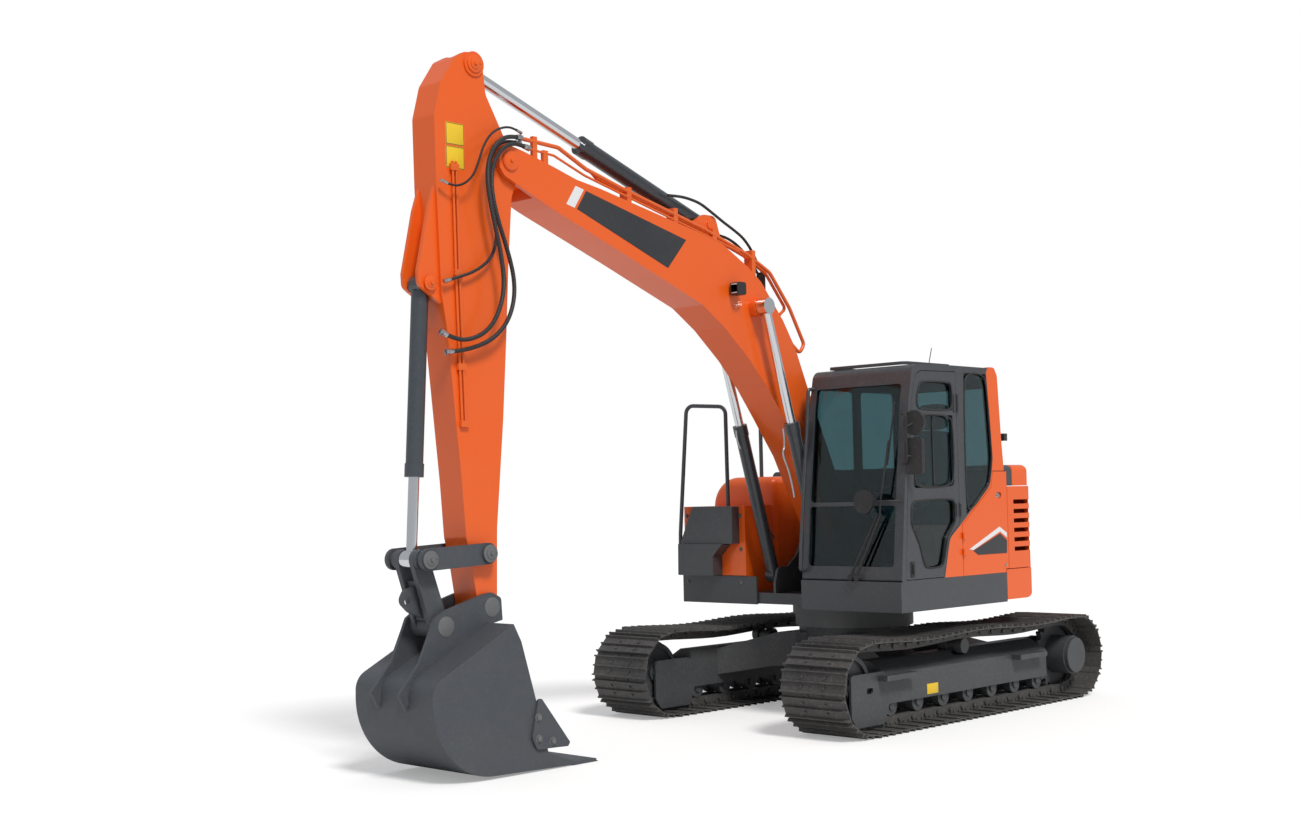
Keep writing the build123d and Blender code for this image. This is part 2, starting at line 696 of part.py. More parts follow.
# Right side: box behind the step, tank and covers
TANK_INNER = -525
TANK_TOP = 1960
BOX_TOP = 1712
with BuildPart() as front_box:
    slab(
        rectangle(-HOUSE_SIDE + 12, TANK_INNER, RIGHT_FRONT, -430),
        (30, 0, 0, 30),
        SKIRT_TOP + SEAM,
        BOX_TOP,
    )
    base = rectangle(-HOUSE_SIDE + PANEL + 8, TANK_INNER, RIGHT_FRONT + PANEL + 8, -430)
    slab(base, 0, DECK_TOP, SKIRT_TOP + SEAM)
front_box.part.label = "front_box"
export_step(front_box.part, "parts/front_box.step")

STEP_DEPTH = 92
with BuildPart() as front_steps:
    upper = [(-1190, 1395), (-590, 1395), (-590, 1712), (-1040, 1712)]
    frontal(upper, 8, RIGHT_FRONT - STEP_DEPTH, RIGHT_FRONT)
    lower = [(-1195, 1125), (-790, 1125), (-790, 1290), (-680, 1394), (-1190, 1394)]
    frontal(lower, 8, RIGHT_FRONT - STEP_DEPTH - 30, RIGHT_FRONT)
front_steps.part.label = "front_steps"
export_step(front_steps.part, "parts/front_steps.step")

with BuildPart() as tank:
    tank_end = [
        (-HOUSE_SIDE + PANEL + 8, DECK_TOP),
        (TANK_INNER, DECK_TOP),
        (TANK_INNER, TANK_TOP),
        (-HOUSE_SIDE + 12, TANK_TOP),
        (-HOUSE_SIDE + 12, SKIRT_TOP + SEAM),
        (-HOUSE_SIDE + PANEL + 8, SKIRT_TOP + SEAM),
    ]
    frontal(tank_end, (0, 0, 60, 260, 0, 0), -424, SKIRT_END - SEAM)
    fillet(tank.edges().filter_by(Axis.X).group_by(Axis.Y)[0].sort_by(Axis.Z)[-1], 90)
tank.part.label = "tank"
export_step(tank.part, "parts/tank.step")

with BuildPart() as swing_motor:
    with BuildSketch(Plane.XY.offset(DECK_TOP)):
        with Locations((BOOM_X, 120)):
            Circle(125)
    extrude(amount=160)
    with BuildSketch(Plane.XY.offset(DECK_TOP + 160)):
        with Locations((BOOM_X, 120)):
            Circle(85)
    extrude(amount=190)
swing_motor.part.label = "swing_motor"
export_step(swing_motor.part, "parts/swing_motor.step")

with BuildPart() as control_valve:
    slab(rectangle(-480, -300, -120, 330), 15, DECK_TOP, 1440)
control_valve.part.label = "control_valve"
export_step(control_valve.part, "parts/control_valve.step")

# Handrails of round tube
RAIL_TUBE = 17
with BuildPart() as handrails:
    front_rail = [
        (-1222, RIGHT_FRONT - 60, SKIRT_TOP + 20),
        (-1215, RIGHT_FRONT - 60, 1480),
        (-1112, RIGHT_FRONT - 60, 2590),
        (-742, RIGHT_FRONT + 30, 2565),
        (-735, RIGHT_FRONT + 30, BOX_TOP + 2),
    ]
    back_rail = [
        (-742, -300, TANK_TOP),
        (-742, -300, 2560),
        (-742, 200, 2560),
        (-742, 200, TANK_TOP),
    ]
    for route, bends in ((front_rail, (200, 70, 70)), (back_rail, (70, 70))):
        with BuildLine() as path:
            FilletPolyline(*route, radius=bends)
        start = Plane(origin=path.line @ 0, z_dir=path.line % 0)
        with BuildSketch(start):
            Circle(RAIL_TUBE)
        sweep(path=path.line)
handrails.part.label = "handrails"
export_step(handrails.part, "parts/handrails.step")

with BuildPart() as exhaust:
    with BuildSketch(Plane.XY.offset(HOOD_TOP)):
        with Locations((-820, HOOD_FRONT - 70)):
            Circle(48)
    extrude(amount=260)
    with BuildSketch(Plane.XY.offset(HOOD_TOP + 60)):
        with Locations((-820, HOOD_FRONT - 70)):
            Circle(40)
    extrude(amount=200, mode=Mode.SUBTRACT)
exhaust.part.label = "exhaust"
export_step(exhaust.part, "parts/exhaust.step")

# Cab: shell with its windows cut, panes, door, seat and console
CAB_SIDE = [
    (-1045, SKIRT_TOP),
    (-985, 1730),
    (-895, 2500),
    (-835, CAB_ROOF - 12),
    (-500, CAB_ROOF),
    (345, CAB_ROOF),
    (385, 2240),
    (420, 1990),
    (420, SKIRT_TOP),
]
CAB_SIDE_RADII = (20, 0, 200, 90, 0, 70, 200, 60, 0)
CAB_INSIDE = [
    (-1045 + CAB_WALL + 4, CAB_FLOOR),
    (-985 + CAB_WALL, 1730),
    (-895 + CAB_WALL, 2480),
    (-835 + CAB_WALL, CAB_ROOF - CAB_WALL),
    (345 - CAB_WALL, CAB_ROOF - CAB_WALL),
    (385 - CAB_WALL, 2240),
    (420 - CAB_WALL, 1990),
    (420 - CAB_WALL, CAB_FLOOR),
]
CAB_INSIDE_RADII = (10, 0, 160, 60, 30, 160, 40, 10)
DOOR_OUTLINE = [
    (-985, SKIRT_TOP + 14),
    (-942, 1730),
    (-858, 2490),
    (-790, 2738),
    (-246, 2748),
    (-240, 1545),
    (-395, 1440),
    (-480, SKIRT_TOP + 14),
]
DOOR_RADII = (12, 0, 180, 120, 12, 60, 90, 12)
QUARTER_GLASS = [(-128, 2748), (196, 2748), (254, 2060), (202, 1860), (-142, 1604)]
QUARTER_RADII = (12, 18, 160, 120, 12)
LEFT_DOOR_FRONT = -204
FAIRING = [
    (206, CAB_ROOF - 34),
    (235, CAB_ROOF + 8),
    (325, CAB_ROOF + 8),
    (368, CAB_ROOF - 60),
    (402, 2230),
    (426, 1992),
    (426, SKIRT_TOP + 8),
    (-468, SKIRT_TOP + 8),
    (-382, 1432),
    (-226, 1536),
    (215, 1840),
    (268, 2060),
]
FAIRING_RADII = (0, 25, 40, 60, 200, 20, 0, 0, 100, 50, 130, 160)
FRONT_LOW = (1232, 1700)
FRONT_HIGH = (1732, 2640)
PILLAR = 52


def widened(points, centre, margin):
    """Outline grown by a margin away from a point inside it."""
    grown = []
    for u, v in points:
        length = hypot(u - centre[0], v - centre[1])
        grown.append((u + (u - centre[0]) / length * margin, v + (v - centre[1]) / length * margin))
    return grown


DOOR_CENTRE = (-620, 1960)
with BuildPart() as cab_shell:
    plate(CAB_SIDE, CAB_SIDE_RADII, CAB_RIGHT, CAB_LEFT)
    plate(CAB_INSIDE, CAB_INSIDE_RADII, CAB_RIGHT + CAB_WALL, CAB_LEFT - CAB_WALL, Mode.SUBTRACT)
    for low, high in (FRONT_LOW, FRONT_HIGH):
        window = rectangle(CAB_RIGHT + PILLAR, CAB_LEFT - PILLAR - 28, low, high)
        frontal(window, 30, -1100, -780, Mode.SUBTRACT)
    frontal(rectangle(CAB_RIGHT + 90, CAB_LEFT - 90, 1900, 2640), 40, 300, 450, Mode.SUBTRACT)
    hatch = rectangle(CAB_RIGHT + 130, CAB_LEFT - 150, -720, -160)
    slab(hatch, 40, CAB_ROOF - 60, CAB_ROOF + 20, Mode.SUBTRACT)
    plate(
        widened(DOOR_OUTLINE, DOOR_CENTRE, SEAM),
        DOOR_RADII,
        CAB_LEFT - CAB_WALL - 5,
        CAB_LEFT + 5,
        Mode.SUBTRACT,
    )
    plate(QUARTER_GLASS, QUARTER_RADII, CAB_LEFT - CAB_WALL - 5, CAB_LEFT + 5, Mode.SUBTRACT)
    plate(FAIRING, FAIRING_RADII, CAB_LEFT - CAB_WALL + 5, CAB_LEFT + 5, Mode.SUBTRACT)
    right_front = [(-935, 1300), (-905, 2000), (-850, 2640), (-330, 2640), (-330, 1300)]
    right_back = rectangle(-260, 240, 1700, 2640)
    for pane in (right_front, right_back):
        plate(pane, 40, CAB_RIGHT - 5, CAB_RIGHT + CAB_WALL + 5, Mode.SUBTRACT)
cab_shell.part.label = "cab_shell"
export_step(cab_shell.part, "parts/cab_shell.step")

with BuildPart() as cab_windows:
    front_line = [(-1045, SKIRT_TOP), (-985, 1730), (-895, 2500), (-835, CAB_ROOF - 12)]
    outer = mitred(front_line, 14)
    inner = mitred(front_line, 14 + GLASS)
    plate(outer + inner[::-1], 0, CAB_RIGHT, CAB_LEFT)
    front_panes = []
    for low, high in (FRONT_LOW, FRONT_HIGH):
        with BuildSketch(Plane.XZ.offset(600)) as opening:
            with Locations(((CAB_RIGHT + CAB_LEFT - 28) / 2, (low + high) / 2)):
                RectangleRounded(CAB_LEFT - CAB_RIGHT - 2 * PILLAR - 28, high - low, 30)
        front_panes.append(extrude(opening.sketch, amount=600, mode=Mode.PRIVATE))
    add(front_panes, mode=Mode.INTERSECT)
    plate(QUARTER_GLASS, QUARTER_RADII, CAB_LEFT - 10 - GLASS, CAB_LEFT - 10)
    frontal(rectangle(CAB_RIGHT + 90, CAB_LEFT - 90, 1900, 2640), 40, 352, 352 + GLASS)
    slab(rectangle(CAB_RIGHT + 130, CAB_LEFT - 150, -720, -160), 40, CAB_ROOF - 24, CAB_ROOF - 24 + GLASS)
    for pane in (right_front, right_back):
        plate(pane, 40, CAB_RIGHT + 12, CAB_RIGHT + 12 + GLASS)
cab_windows.part.label = "cab_windows"
export_step(cab_windows.part, "parts/cab_windows.step")

with BuildPart() as side_fairing:
    with BuildSketch(side(CAB_LEFT - CAB_WALL + 5)) as fairing_profile:
        with BuildLine():
            FilletPolyline(*FAIRING, radius=FAIRING_RADII, close=True)
        make_face()
    extrude(amount=CAB_WALL - 5)
    door_gap = [
        (DOOR_SEAM + 20, LEFT_DOOR_TOP + SEAM),
        (DOOR_SEAM + 20, SKIRT_TOP - 20),
        (LEFT_DOOR_FRONT - SEAM, SKIRT_TOP - 20),
        (LEFT_DOOR_FRONT - SEAM, 1532),
        (222, 1827),
        (256, LEFT_DOOR_TOP + SEAM),
    ]
    plate(door_gap, 0, CAB_LEFT - 2 * CAB_WALL, CAB_LEFT + 5, Mode.SUBTRACT)
side_fairing.part.label = "side_fairing"
export_step(side_fairing.part, "parts/side_fairing.step")

CAB_HINGE_Y = -238
DOOR_PANES = (
    ([(-752, 2660), (-300, 2666), (-300, 2440), (-800, 2440)], (90, 30, 10, 20)),
    ([(-806, 2402), (-300, 2402), (-300, 1842), (-862, 1830)], (10, 10, 40, 40)),
    (
        [
            (-892, 1735),
            (-300, 1742),
            (-300, 1560),
            (-420, 1440),
            (-485, 1215),
            (-735, 1210),
            (-800, 1400),
            (-905, 1560),
        ],
        (50, 40, 30, 60, 40, 40, 90, 60),
    ),
)
with BuildPart() as cab_door:
    plate(DOOR_OUTLINE, DOOR_RADII, CAB_LEFT - DOOR_THICKNESS, CAB_LEFT)
    for outline, radii in DOOR_PANES:
        plate(outline, radii, CAB_LEFT - CAB_WALL, CAB_LEFT + 5, Mode.SUBTRACT)
    upright_hinge(1, CAB_HINGE_Y, CAB_HINGE_Y - 50, ((1600, 1700), (2430, 2570)))
cab_door.part.label = "cab_door"
export_step(cab_door.part, "parts/cab_door.step")

with BuildPart() as door_windows:
    for outline, radii in DOOR_PANES:
        plate(outline, radii, CAB_LEFT - 20 - GLASS, CAB_LEFT - 20)
door_windows.part.label = "door_windows"
export_step(door_windows.part, "parts/door_windows.step")

SEAT_X = 760
with BuildPart() as seat:
    plate(rectangle(-480, 20, 1560, 1680), 45, SEAT_X - 250, SEAT_X + 250)
    back = [(-70, 1640), (80, 1640), (190, 2300), (90, 2330)]
    plate(back, (20, 30, 45, 45), SEAT_X - 240, SEAT_X + 240)
    head = [(75, 2310), (185, 2290), (215, 2520), (115, 2530)]
    plate(head, (10, 30, 45, 45), SEAT_X - 140, SEAT_X + 140)
    slab(rectangle(SEAT_X - 190, SEAT_X + 190, -420, 60), 20, CAB_FLOOR, 1565)
seat.part.label = "seat"
export_step(seat.part, "parts/seat.step")

with BuildPart() as consoles:
    for low, high in ((CAB_RIGHT + 60, SEAT_X - 270), (SEAT_X + 270, CAB_LEFT - 95)):
        outline = [
            (-560, 1700),
            (-120, 1700),
            (-60, 1500),
            (-60, CAB_FLOOR),
            (-420, CAB_FLOOR),
            (-480, 1560),
            (-560, 1610),
        ]
        plate(outline, (30, 40, 30, 0, 0, 60, 30), low, high)
    for x in (CAB_RIGHT + 130, CAB_LEFT - 160):
        with BuildSketch(Plane.XY.offset(1690)):
            with Locations((x, -490)):
                Circle(20)
        extrude(amount=190)
consoles.part.label = "consoles"
export_step(consoles.part, "parts/consoles.step")

# Boom: box of varying depth with a fork at its tip
BOOM_OUTLINE = [
    (-3990, 4090),
    (-3950, 4035),
    (-3530, 3860),
    (-2740, 3575),
    (-1950, 3280),
    (-1700, 3120),
    (-1420, 2890),
    (-1200, 2670),
    (-1020, 2450),
    (-760, 2120),
    (-530, 1720),
    (-318, 1390),
    (-200, BOOM_FOOT[1] - 118),
    (-90, 1400),
    (-120, 1530),
    (-420, 2150),
    (-690, 2700),
    (-830, 3000),
    (-980, 3220),
    (-1240, 3510),
    (-1400, 3620),
    (-1730, 3790),
    (-3020, 4050),
    (-3270, 4090),
    (-3480, 4150),
    (-3770, 4225),
    (-3900, 4251),
    (-3990, 4200),
]
BOOM_RADII = (
    30, 60, 0, 0, 120, 0, 0, 0, 0, 0, 0, 90, 90, 90, 0, 0, 0, 150, 0, 0, 0, 150, 0, 0, 120,
    0, 60, 30,
)
FORK_ROOT_LOW = -3660
FORK_ROOT_HIGH = -3560
BOOM_EYE = PIN_RADIUS + 8 + RUNNING
EAR_PLATE = 28
ARM_EAR_INNER = ARM_BARREL_RADIUS + 8
ROD_BOSS_END = 225
with BuildPart() as boom:
    plate(BOOM_OUTLINE, BOOM_RADII, BOOM_X - BOOM_HALF, BOOM_X + BOOM_HALF)
    slot = [
        (-4100, 3800),
        (FORK_ROOT_LOW, 3800),
        (FORK_ROOT_LOW, 4000),
        (FORK_ROOT_HIGH, 4000),
        (FORK_ROOT_HIGH, 4400),
        (-4100, 4400),
    ]
    plate(slot, 0, BOOM_X - FORK_INNER, BOOM_X + FORK_INNER, Mode.SUBTRACT)
    shaft(BOOM_TIP, PIN_RADIUS, BOOM_X - FORK_INNER, BOOM_X + FORK_INNER)
    cylinder_ear = [(-2110, 3800), (-2070, 3880), (-1860, 4000), (-1720, 4000), (-1640, 3780)]
    for hand in (-1, 1):
        low, high = sorted((BOOM_X + hand * ARM_EAR_INNER, BOOM_X + hand * (ARM_EAR_INNER + EAR_PLATE)))
        plate(cylinder_ear, (0, 60, 70, 60, 0), low, high)
        low, high = sorted((BOOM_X + hand * BOOM_HALF, BOOM_X + hand * ROD_BOSS_END))
        shaft(BOOM_ROD_PIN, 75, low, high)
        low, high = sorted((BOOM_X + hand * BOOM_HALF, BOOM_X + hand * (BOOM_HALF + 16)))
        shaft(BOOM_TIP, 62, low, high)
    shaft(ARM_BARREL_PIN, PIN_RADIUS, BOOM_X - 112, BOOM_X + 112)
    shaft(BOOM_FOOT, BOOM_EYE, BOOM_X - BOOM_HALF - 5, BOOM_X + BOOM_HALF + 5, Mode.SUBTRACT)
boom.part.label = "boom"
export_step(boom.part, "parts/boom.step")


def cylinder_barrel(pin, rod_pin, radius, length, x, half_eye, inner):
    """Cylinder body with its eye, gland and a bore for the rod."""
    eye = radius + 6
    shaft(pin, eye, x - half_eye, x + half_eye)
    along(pin, rod_pin, radius, eye - 20, length - 90, x)
    along(pin, rod_pin, radius + 6, length - 90, length, x)
    along(pin, rod_pin, inner + RUNNING, eye + 40, length + 5, x, Mode.SUBTRACT)
    shaft(pin, PIN_RADIUS + RUNNING, x - half_eye - 5, x + half_eye + 5, Mode.SUBTRACT)


def cylinder_rod(pin, rod_pin, radius, start, x, half_eye, eye):
    """Chromed rod with the eye at its end."""
    along(pin, rod_pin, radius, start, distance(pin, rod_pin) - eye + 15, x)
    shaft(rod_pin, eye, x - half_eye, x + half_eye)


BOOM_BARREL_LENGTH = 1310
with BuildPart() as boom_barrels:
    for x in (BOOM_X - BOOM_CYLINDER_X, BOOM_X + BOOM_CYLINDER_X):
        cylinder_barrel(
            BOOM_BARREL_PIN,
            BOOM_ROD_PIN,
            BOOM_BARREL_RADIUS,
            BOOM_BARREL_LENGTH,
            x,
            45,
            BOOM_ROD_RADIUS,
        )
boom_barrels.part.label = "boom_barrels"
export_step(boom_barrels.part, "parts/boom_barrels.step")

with BuildPart() as boom_rods:
    for x in (BOOM_X - BOOM_CYLINDER_X, BOOM_X + BOOM_CYLINDER_X):
        cylinder_rod(BOOM_BARREL_PIN, BOOM_ROD_PIN, BOOM_ROD_RADIUS, 790, x, 43, 66)
boom_rods.part.label = "boom_rods"
export_step(boom_rods.part, "parts/boom_rods.step")

ARM_BARREL_LENGTH = 1385
with BuildPart() as arm_barrel:
    cylinder_barrel(
        ARM_BARREL_PIN,
        ARM_ROD_PIN,
        ARM_BARREL_RADIUS,
        ARM_BARREL_LENGTH,
        BOOM_X,
        57,
        ARM_ROD_RADIUS,
    )
arm_barrel.part.label = "arm_barrel"
export_step(arm_barrel.part, "parts/arm_barrel.step")

with BuildPart() as arm_rod:
    cylinder_rod(ARM_BARREL_PIN, ARM_ROD_PIN, ARM_ROD_RADIUS, 1140, BOOM_X, 58, 64)
arm_rod.part.label = "arm_rod"
export_step(arm_rod.part, "parts/arm_rod.step")

# Arm: box with a slotted top, boss at the boom and ears for the bucket cylinder
ARM_OUTLINE = [
    (-4335, 4800),
    (-4255, 4845),
    (-4150, 4862),
    (-4098, 4800),
    (-4070, 4580),
    (-3905, 4300),
    (-3800, 4200),
    (-3760, 4141),
    (-3800, 4020),
    (-3850, 3900),
    (-3890, 3420),
    (-3920, 2910),
    (-3960, 2350),
    (-4030, 1620),
    (-4040, 1160),
    (-4121, 1000),
    (-4205, 1090),
    (-4265, 1430),
    (-4300, 1560),
    (-4330, 1940),
    (-4410, 2690),
    (-4440, 2970),
    (-4480, 3190),
    (-4510, 3930),
    (-4520, 4380),
    (-4460, 4610),
]
ARM_RADII = (
    60, 0, 60, 40, 90, 60, 60, 60, 60, 90, 0, 0, 0, 60, 60, 70, 70, 60, 60, 0, 0, 0, 60, 60,
    90, 60,
)
ARM_EYE = PIN_RADIUS + RUNNING
BUCKET_EAR = [
    (-4470, 3120),
    (-4570, 3180),
    (-4650, 3230),
    (-4655, 3320),
    (-4560, 3750),
    (-4500, 3930),
    (-4440, 3930),
    (-4440, 3120),
]
with BuildPart() as arm:
    plate(ARM_OUTLINE, ARM_RADII, BOOM_X - ARM_HALF, BOOM_X + ARM_HALF)
    slot = [(-4318, 5000), (-4318, 4792), (-4444, 4604), (-4480, 4490), (-3900, 4490), (-3900, 5000)]
    plate(slot, 0, BOOM_X - 70, BOOM_X + 70, Mode.SUBTRACT)
    shaft(ARM_ROD_PIN, 85, BOOM_X - ARM_HALF - 12, BOOM_X - 70)
    shaft(ARM_ROD_PIN, 85, BOOM_X + 70, BOOM_X + ARM_HALF + 12)
    for hand in (-1, 1):
        low, high = sorted((BOOM_X + hand * 65, BOOM_X + hand * 95))
        plate(BUCKET_EAR, (0, 0, 50, 50, 0, 0, 0, 0), low, high)
    shaft(BUCKET_BARREL_PIN, PIN_RADIUS, BOOM_X - 108, BOOM_X + 108)
    shaft(BUCKET_PIN, 88, BOOM_X - 126, BOOM_X + 126)
    shaft(SIDE_LINK_PIN, 66, BOOM_X - 127, BOOM_X + 127)
    shaft(SIDE_LINK_PIN, PIN_RADIUS, BOOM_X - 206, BOOM_X + 206)
    shaft(BOOM_TIP, ARM_EYE, BOOM_X - ARM_HALF - 5, BOOM_X + ARM_HALF + 5, Mode.SUBTRACT)
    shaft(BUCKET_PIN, ARM_EYE, BOOM_X - 140, BOOM_X + 140, Mode.SUBTRACT)
arm.part.label = "arm"
export_step(arm.part, "parts/arm.step")

BUCKET_BARREL_LENGTH = 1280
with BuildPart() as bucket_barrel:
    cylinder_barrel(
        BUCKET_BARREL_PIN,
        TIPPING_PIN,
        BUCKET_BARREL_RADIUS,
        BUCKET_BARREL_LENGTH,
        BOOM_X,
        54,
        BUCKET_ROD_RADIUS,
    )
bucket_barrel.part.label = "bucket_barrel"
export_step(bucket_barrel.part, "parts/bucket_barrel.step")

with BuildPart() as bucket_rod:
    cylinder_rod(BUCKET_BARREL_PIN, TIPPING_PIN, BUCKET_ROD_RADIUS, 560, BOOM_X, 54, 62)
bucket_rod.part.label = "bucket_rod"
export_step(bucket_rod.part, "parts/bucket_rod.step")

LINK_INNER = 166
LINK_OUTER = 194


def bar_between(start, end, radius_start, radius_end):
    """Outline of a flat bar with round ends, as two circles and their tangents."""
    with BuildSketch() as outline:
        with Locations(start):
            Circle(radius_start)
        with Locations(end):
            Circle(radius_end)
    return make_hull(outline.sketch.edges(), mode=Mode.PRIVATE)


LINK_BAR = bar_between(SIDE_LINK_PIN, TIPPING_PIN, 72, 72)
with BuildPart() as side_links:
    for hand in (-1, 1):
        with BuildSketch(side(BOOM_X + hand * LINK_INNER)) as bar:
            add(LINK_BAR)
        extrude(amount=hand * (LINK_OUTER - LINK_INNER))
    for pin in (SIDE_LINK_PIN, TIPPING_PIN):
        shaft(pin, ARM_EYE, BOOM_X - LINK_OUTER - 5, BOOM_X + LINK_OUTER + 5, Mode.SUBTRACT)
side_links.part.label = "side_links"
export_step(side_links.part, "parts/side_links.step")

TIPPING_INNER = 60
TIPPING_OUTER = 126
TIPPING_COLLAR = 52
LIFTING_EYE = (-4718, 1162)
TIPPING_BAR = bar_between(TIPPING_PIN, BUCKET_LINK_PIN, 68, 72)
with BuildPart() as tipping_link:
    for hand in (-1, 1):
        with BuildSketch(side(BOOM_X + hand * TIPPING_INNER)) as bar:
            add(TIPPING_BAR)
        extrude(amount=hand * (TIPPING_OUTER - TIPPING_INNER - 26))
        for radius, reach in ((66, TIPPING_OUTER), (TIPPING_COLLAR, 160), (PIN_RADIUS, LINK_OUTER + 6)):
            low, high = sorted((BOOM_X + hand * TIPPING_INNER, BOOM_X + hand * reach))
            shaft(TIPPING_PIN, radius, low, high)
    shaft(BUCKET_LINK_PIN, 72, BOOM_X - TIPPING_OUTER, BOOM_X + TIPPING_OUTER)
    web = [(-4660, 1290), (-4590, 1290), (-4520, 1050), (-4590, 1030)]
    plate(web, 0, BOOM_X - TIPPING_INNER, BOOM_X + TIPPING_INNER)
    eye = [(-4590, 1040), (-4700, 1090), (-4775, 1160), (-4735, 1230), (-4620, 1270)]
    plate(eye, (0, 40, 50, 40, 0), BOOM_X - 20, BOOM_X + 20)
    shaft(LIFTING_EYE, EYE_HOLE, BOOM_X - 25, BOOM_X + 25, Mode.SUBTRACT)
tipping_link.part.label = "tipping_link"
export_step(tipping_link.part, "parts/tipping_link.step")

# Bucket: curved wrapper, side plates, ears with their two pins
WRAPPER = [(-4150, 990), (-4830, 650), (-4830, 35), (-3420, 0)]
WRAPPER_RADII = (130, 500)


def wrapper_line(shift):
    """Bent line of the wrapper, moved inward."""
    moved = mitred(WRAPPER, -shift)
    with BuildLine() as bent:
        FilletPolyline(*moved, radius=(WRAPPER_RADII[0] - shift, WRAPPER_RADII[1] - shift))
    return bent.line


with BuildPart() as bucket:
    outer_line = wrapper_line(0)
    inner_line = wrapper_line(BUCKET_WALL)
    with BuildSketch(side(BOOM_X - BUCKET_HALF)) as shell:
        with BuildLine():
            add(outer_line)
            add(inner_line)
            Line(outer_line @ 0, inner_line @ 0)
            Line(outer_line @ 1, inner_line @ 1)
        make_face()
    extrude(amount=2 * BUCKET_HALF)
    with BuildSketch(side(BOOM_X - BUCKET_HALF)) as cheek:
        with BuildLine():
            add(outer_line)
            Polyline(outer_line @ 1, (-3560, 6), (-3860, 110), (-3960, 460), (-4085, 870), outer_line @ 0)
        make_face()
    for start in (BOOM_X - BUCKET_HALF, BOOM_X + BUCKET_HALF - BUCKET_WALL):
        with BuildSketch(side(start)) as cheek_plate:
            add(cheek.sketch_local)
        extrude(amount=BUCKET_WALL)
    ear_outline = [
        (-4030, 1000),
        (-4040, 1150),
        (-4120, 1190),
        (-4200, 1180),
        (-4540, 1085),
        (-4610, 1040),
        (-4645, 960),
        (-4735, 770),
        (-4905, 580),
        (-4846, 470),
        (-4819, 560),
        (-4790, 655),
        (-4160, 975),
    ]
    for hand in (-1, 1):
        low, high = sorted((BOOM_X + hand * EAR_INNER, BOOM_X + hand * (EAR_INNER + EAR_WALL)))
        plate(ear_outline, (0, 30, 20, 20, 30, 30, 60, 40, 12, 0, 0, 0, 0), low, high)
        shaft(BUCKET_PIN, 76, low, high)
        shaft(BUCKET_LINK_PIN, 76, low, high)
    shaft(BUCKET_PIN, PIN_RADIUS, BOOM_X - EAR_INNER, BOOM_X + EAR_INNER)
    lip = [(-3400, 0), (-3640, 0), (-3640, 30), (-3440, 20)]
    plate(lip, 0, BOOM_X - BUCKET_HALF, BOOM_X + BUCKET_HALF)
bucket.part.label = "bucket"
export_step(bucket.part, "parts/bucket.step")

CUTTER = [(-3930, 480), (-3960, 480), (-4020, 230), (-3980, 150), (-3700, 140), (-3680, 165)]
with BuildPart() as side_cutters:
    for start in (BOOM_X - BUCKET_HALF - 20, BOOM_X + BUCKET_HALF):
        plate(CUTTER, (10, 20, 40, 40, 10, 10), start, start + 20)
side_cutters.part.label = "side_cutters"
export_step(side_cutters.part, "parts/side_cutters.step")

# Boom lamp, mirrors, rear lamp and grab rails at the cab
with BuildPart() as boom_lamp:
    plate(rectangle(-1645, -1545, 3375, 3475), 20, BOOM_X + BOOM_HALF + 20, BOOM_X + BOOM_HALF + 100)
    shaft((-1595, 3425), 22, BOOM_X + BOOM_HALF, BOOM_X + BOOM_HALF + 20)
boom_lamp.part.label = "boom_lamp"
export_step(boom_lamp.part, "parts/boom_lamp.step")

with BuildPart() as rear_lamp:
    slab(rectangle(1080, 1220, 500, 550), 8, 2210, 2270)
    slab(rectangle(1140, 1160, 515, 535), 0, HOOD_TOP, 2210)
rear_lamp.part.label = "rear_lamp"
export_step(rear_lamp.part, "parts/rear_lamp.step")

# Left service door behind the cab
LEFT_DOOR = [
    (DOOR_SEAM - SEAM, LEFT_DOOR_TOP),
    (DOOR_SEAM - SEAM, CASING_BOTTOM + 8),
    (SKIRT_END - 8, CASING_BOTTOM + 8),
    (SKIRT_END - 8, SKIRT_TOP + 8),
    (LEFT_DOOR_FRONT, SKIRT_TOP + 8),
    (LEFT_DOOR_FRONT, 1528),
    (228, 1822),
    (262, LEFT_DOOR_TOP),
]
with BuildPart() as left_door:
    plate(LEFT_DOOR, 0, CAB_LEFT - CAB_WALL + 10, CAB_LEFT)
    plate(rectangle(300, 380, 1735, 1785), 22, CAB_LEFT - 14, CAB_LEFT + 5, Mode.SUBTRACT)
    upright_hinge(1, LEFT_DOOR_FRONT - 3, LEFT_DOOR_FRONT + 40, ((1290, 1340), (1420, 1470)))
left_door.part.label = "left_door"
export_step(left_door.part, "parts/left_door.step")


def tube(route, radii, radius):
    """Round tube along a route of straight runs and arcs."""
    with BuildLine() as path:
        if radii == 0:
            Line(*route)
        else:
            FilletPolyline(*route, radius=radii)
    with BuildSketch(Plane(origin=path.line @ 0, z_dir=path.line % 0)) as profile:
        Circle(radius)
    sweep(profile.sketch, path=path.line)


# Cab outside: roof hatch, mirrors on their stays, grab rail and wiper
with BuildPart() as roof_hatch:
    slab(rectangle(CAB_RIGHT + 90, CAB_LEFT - 110, -770, -120), 60, CAB_ROOF, CAB_ROOF + 22)
    slab(
        rectangle(CAB_RIGHT + 130, CAB_LEFT - 150, -720, -160),
        40,
        CAB_ROOF - 5,
        CAB_ROOF + 30,
        Mode.SUBTRACT,
    )
roof_hatch.part.label = "roof_hatch"
export_step(roof_hatch.part, "parts/roof_hatch.step")

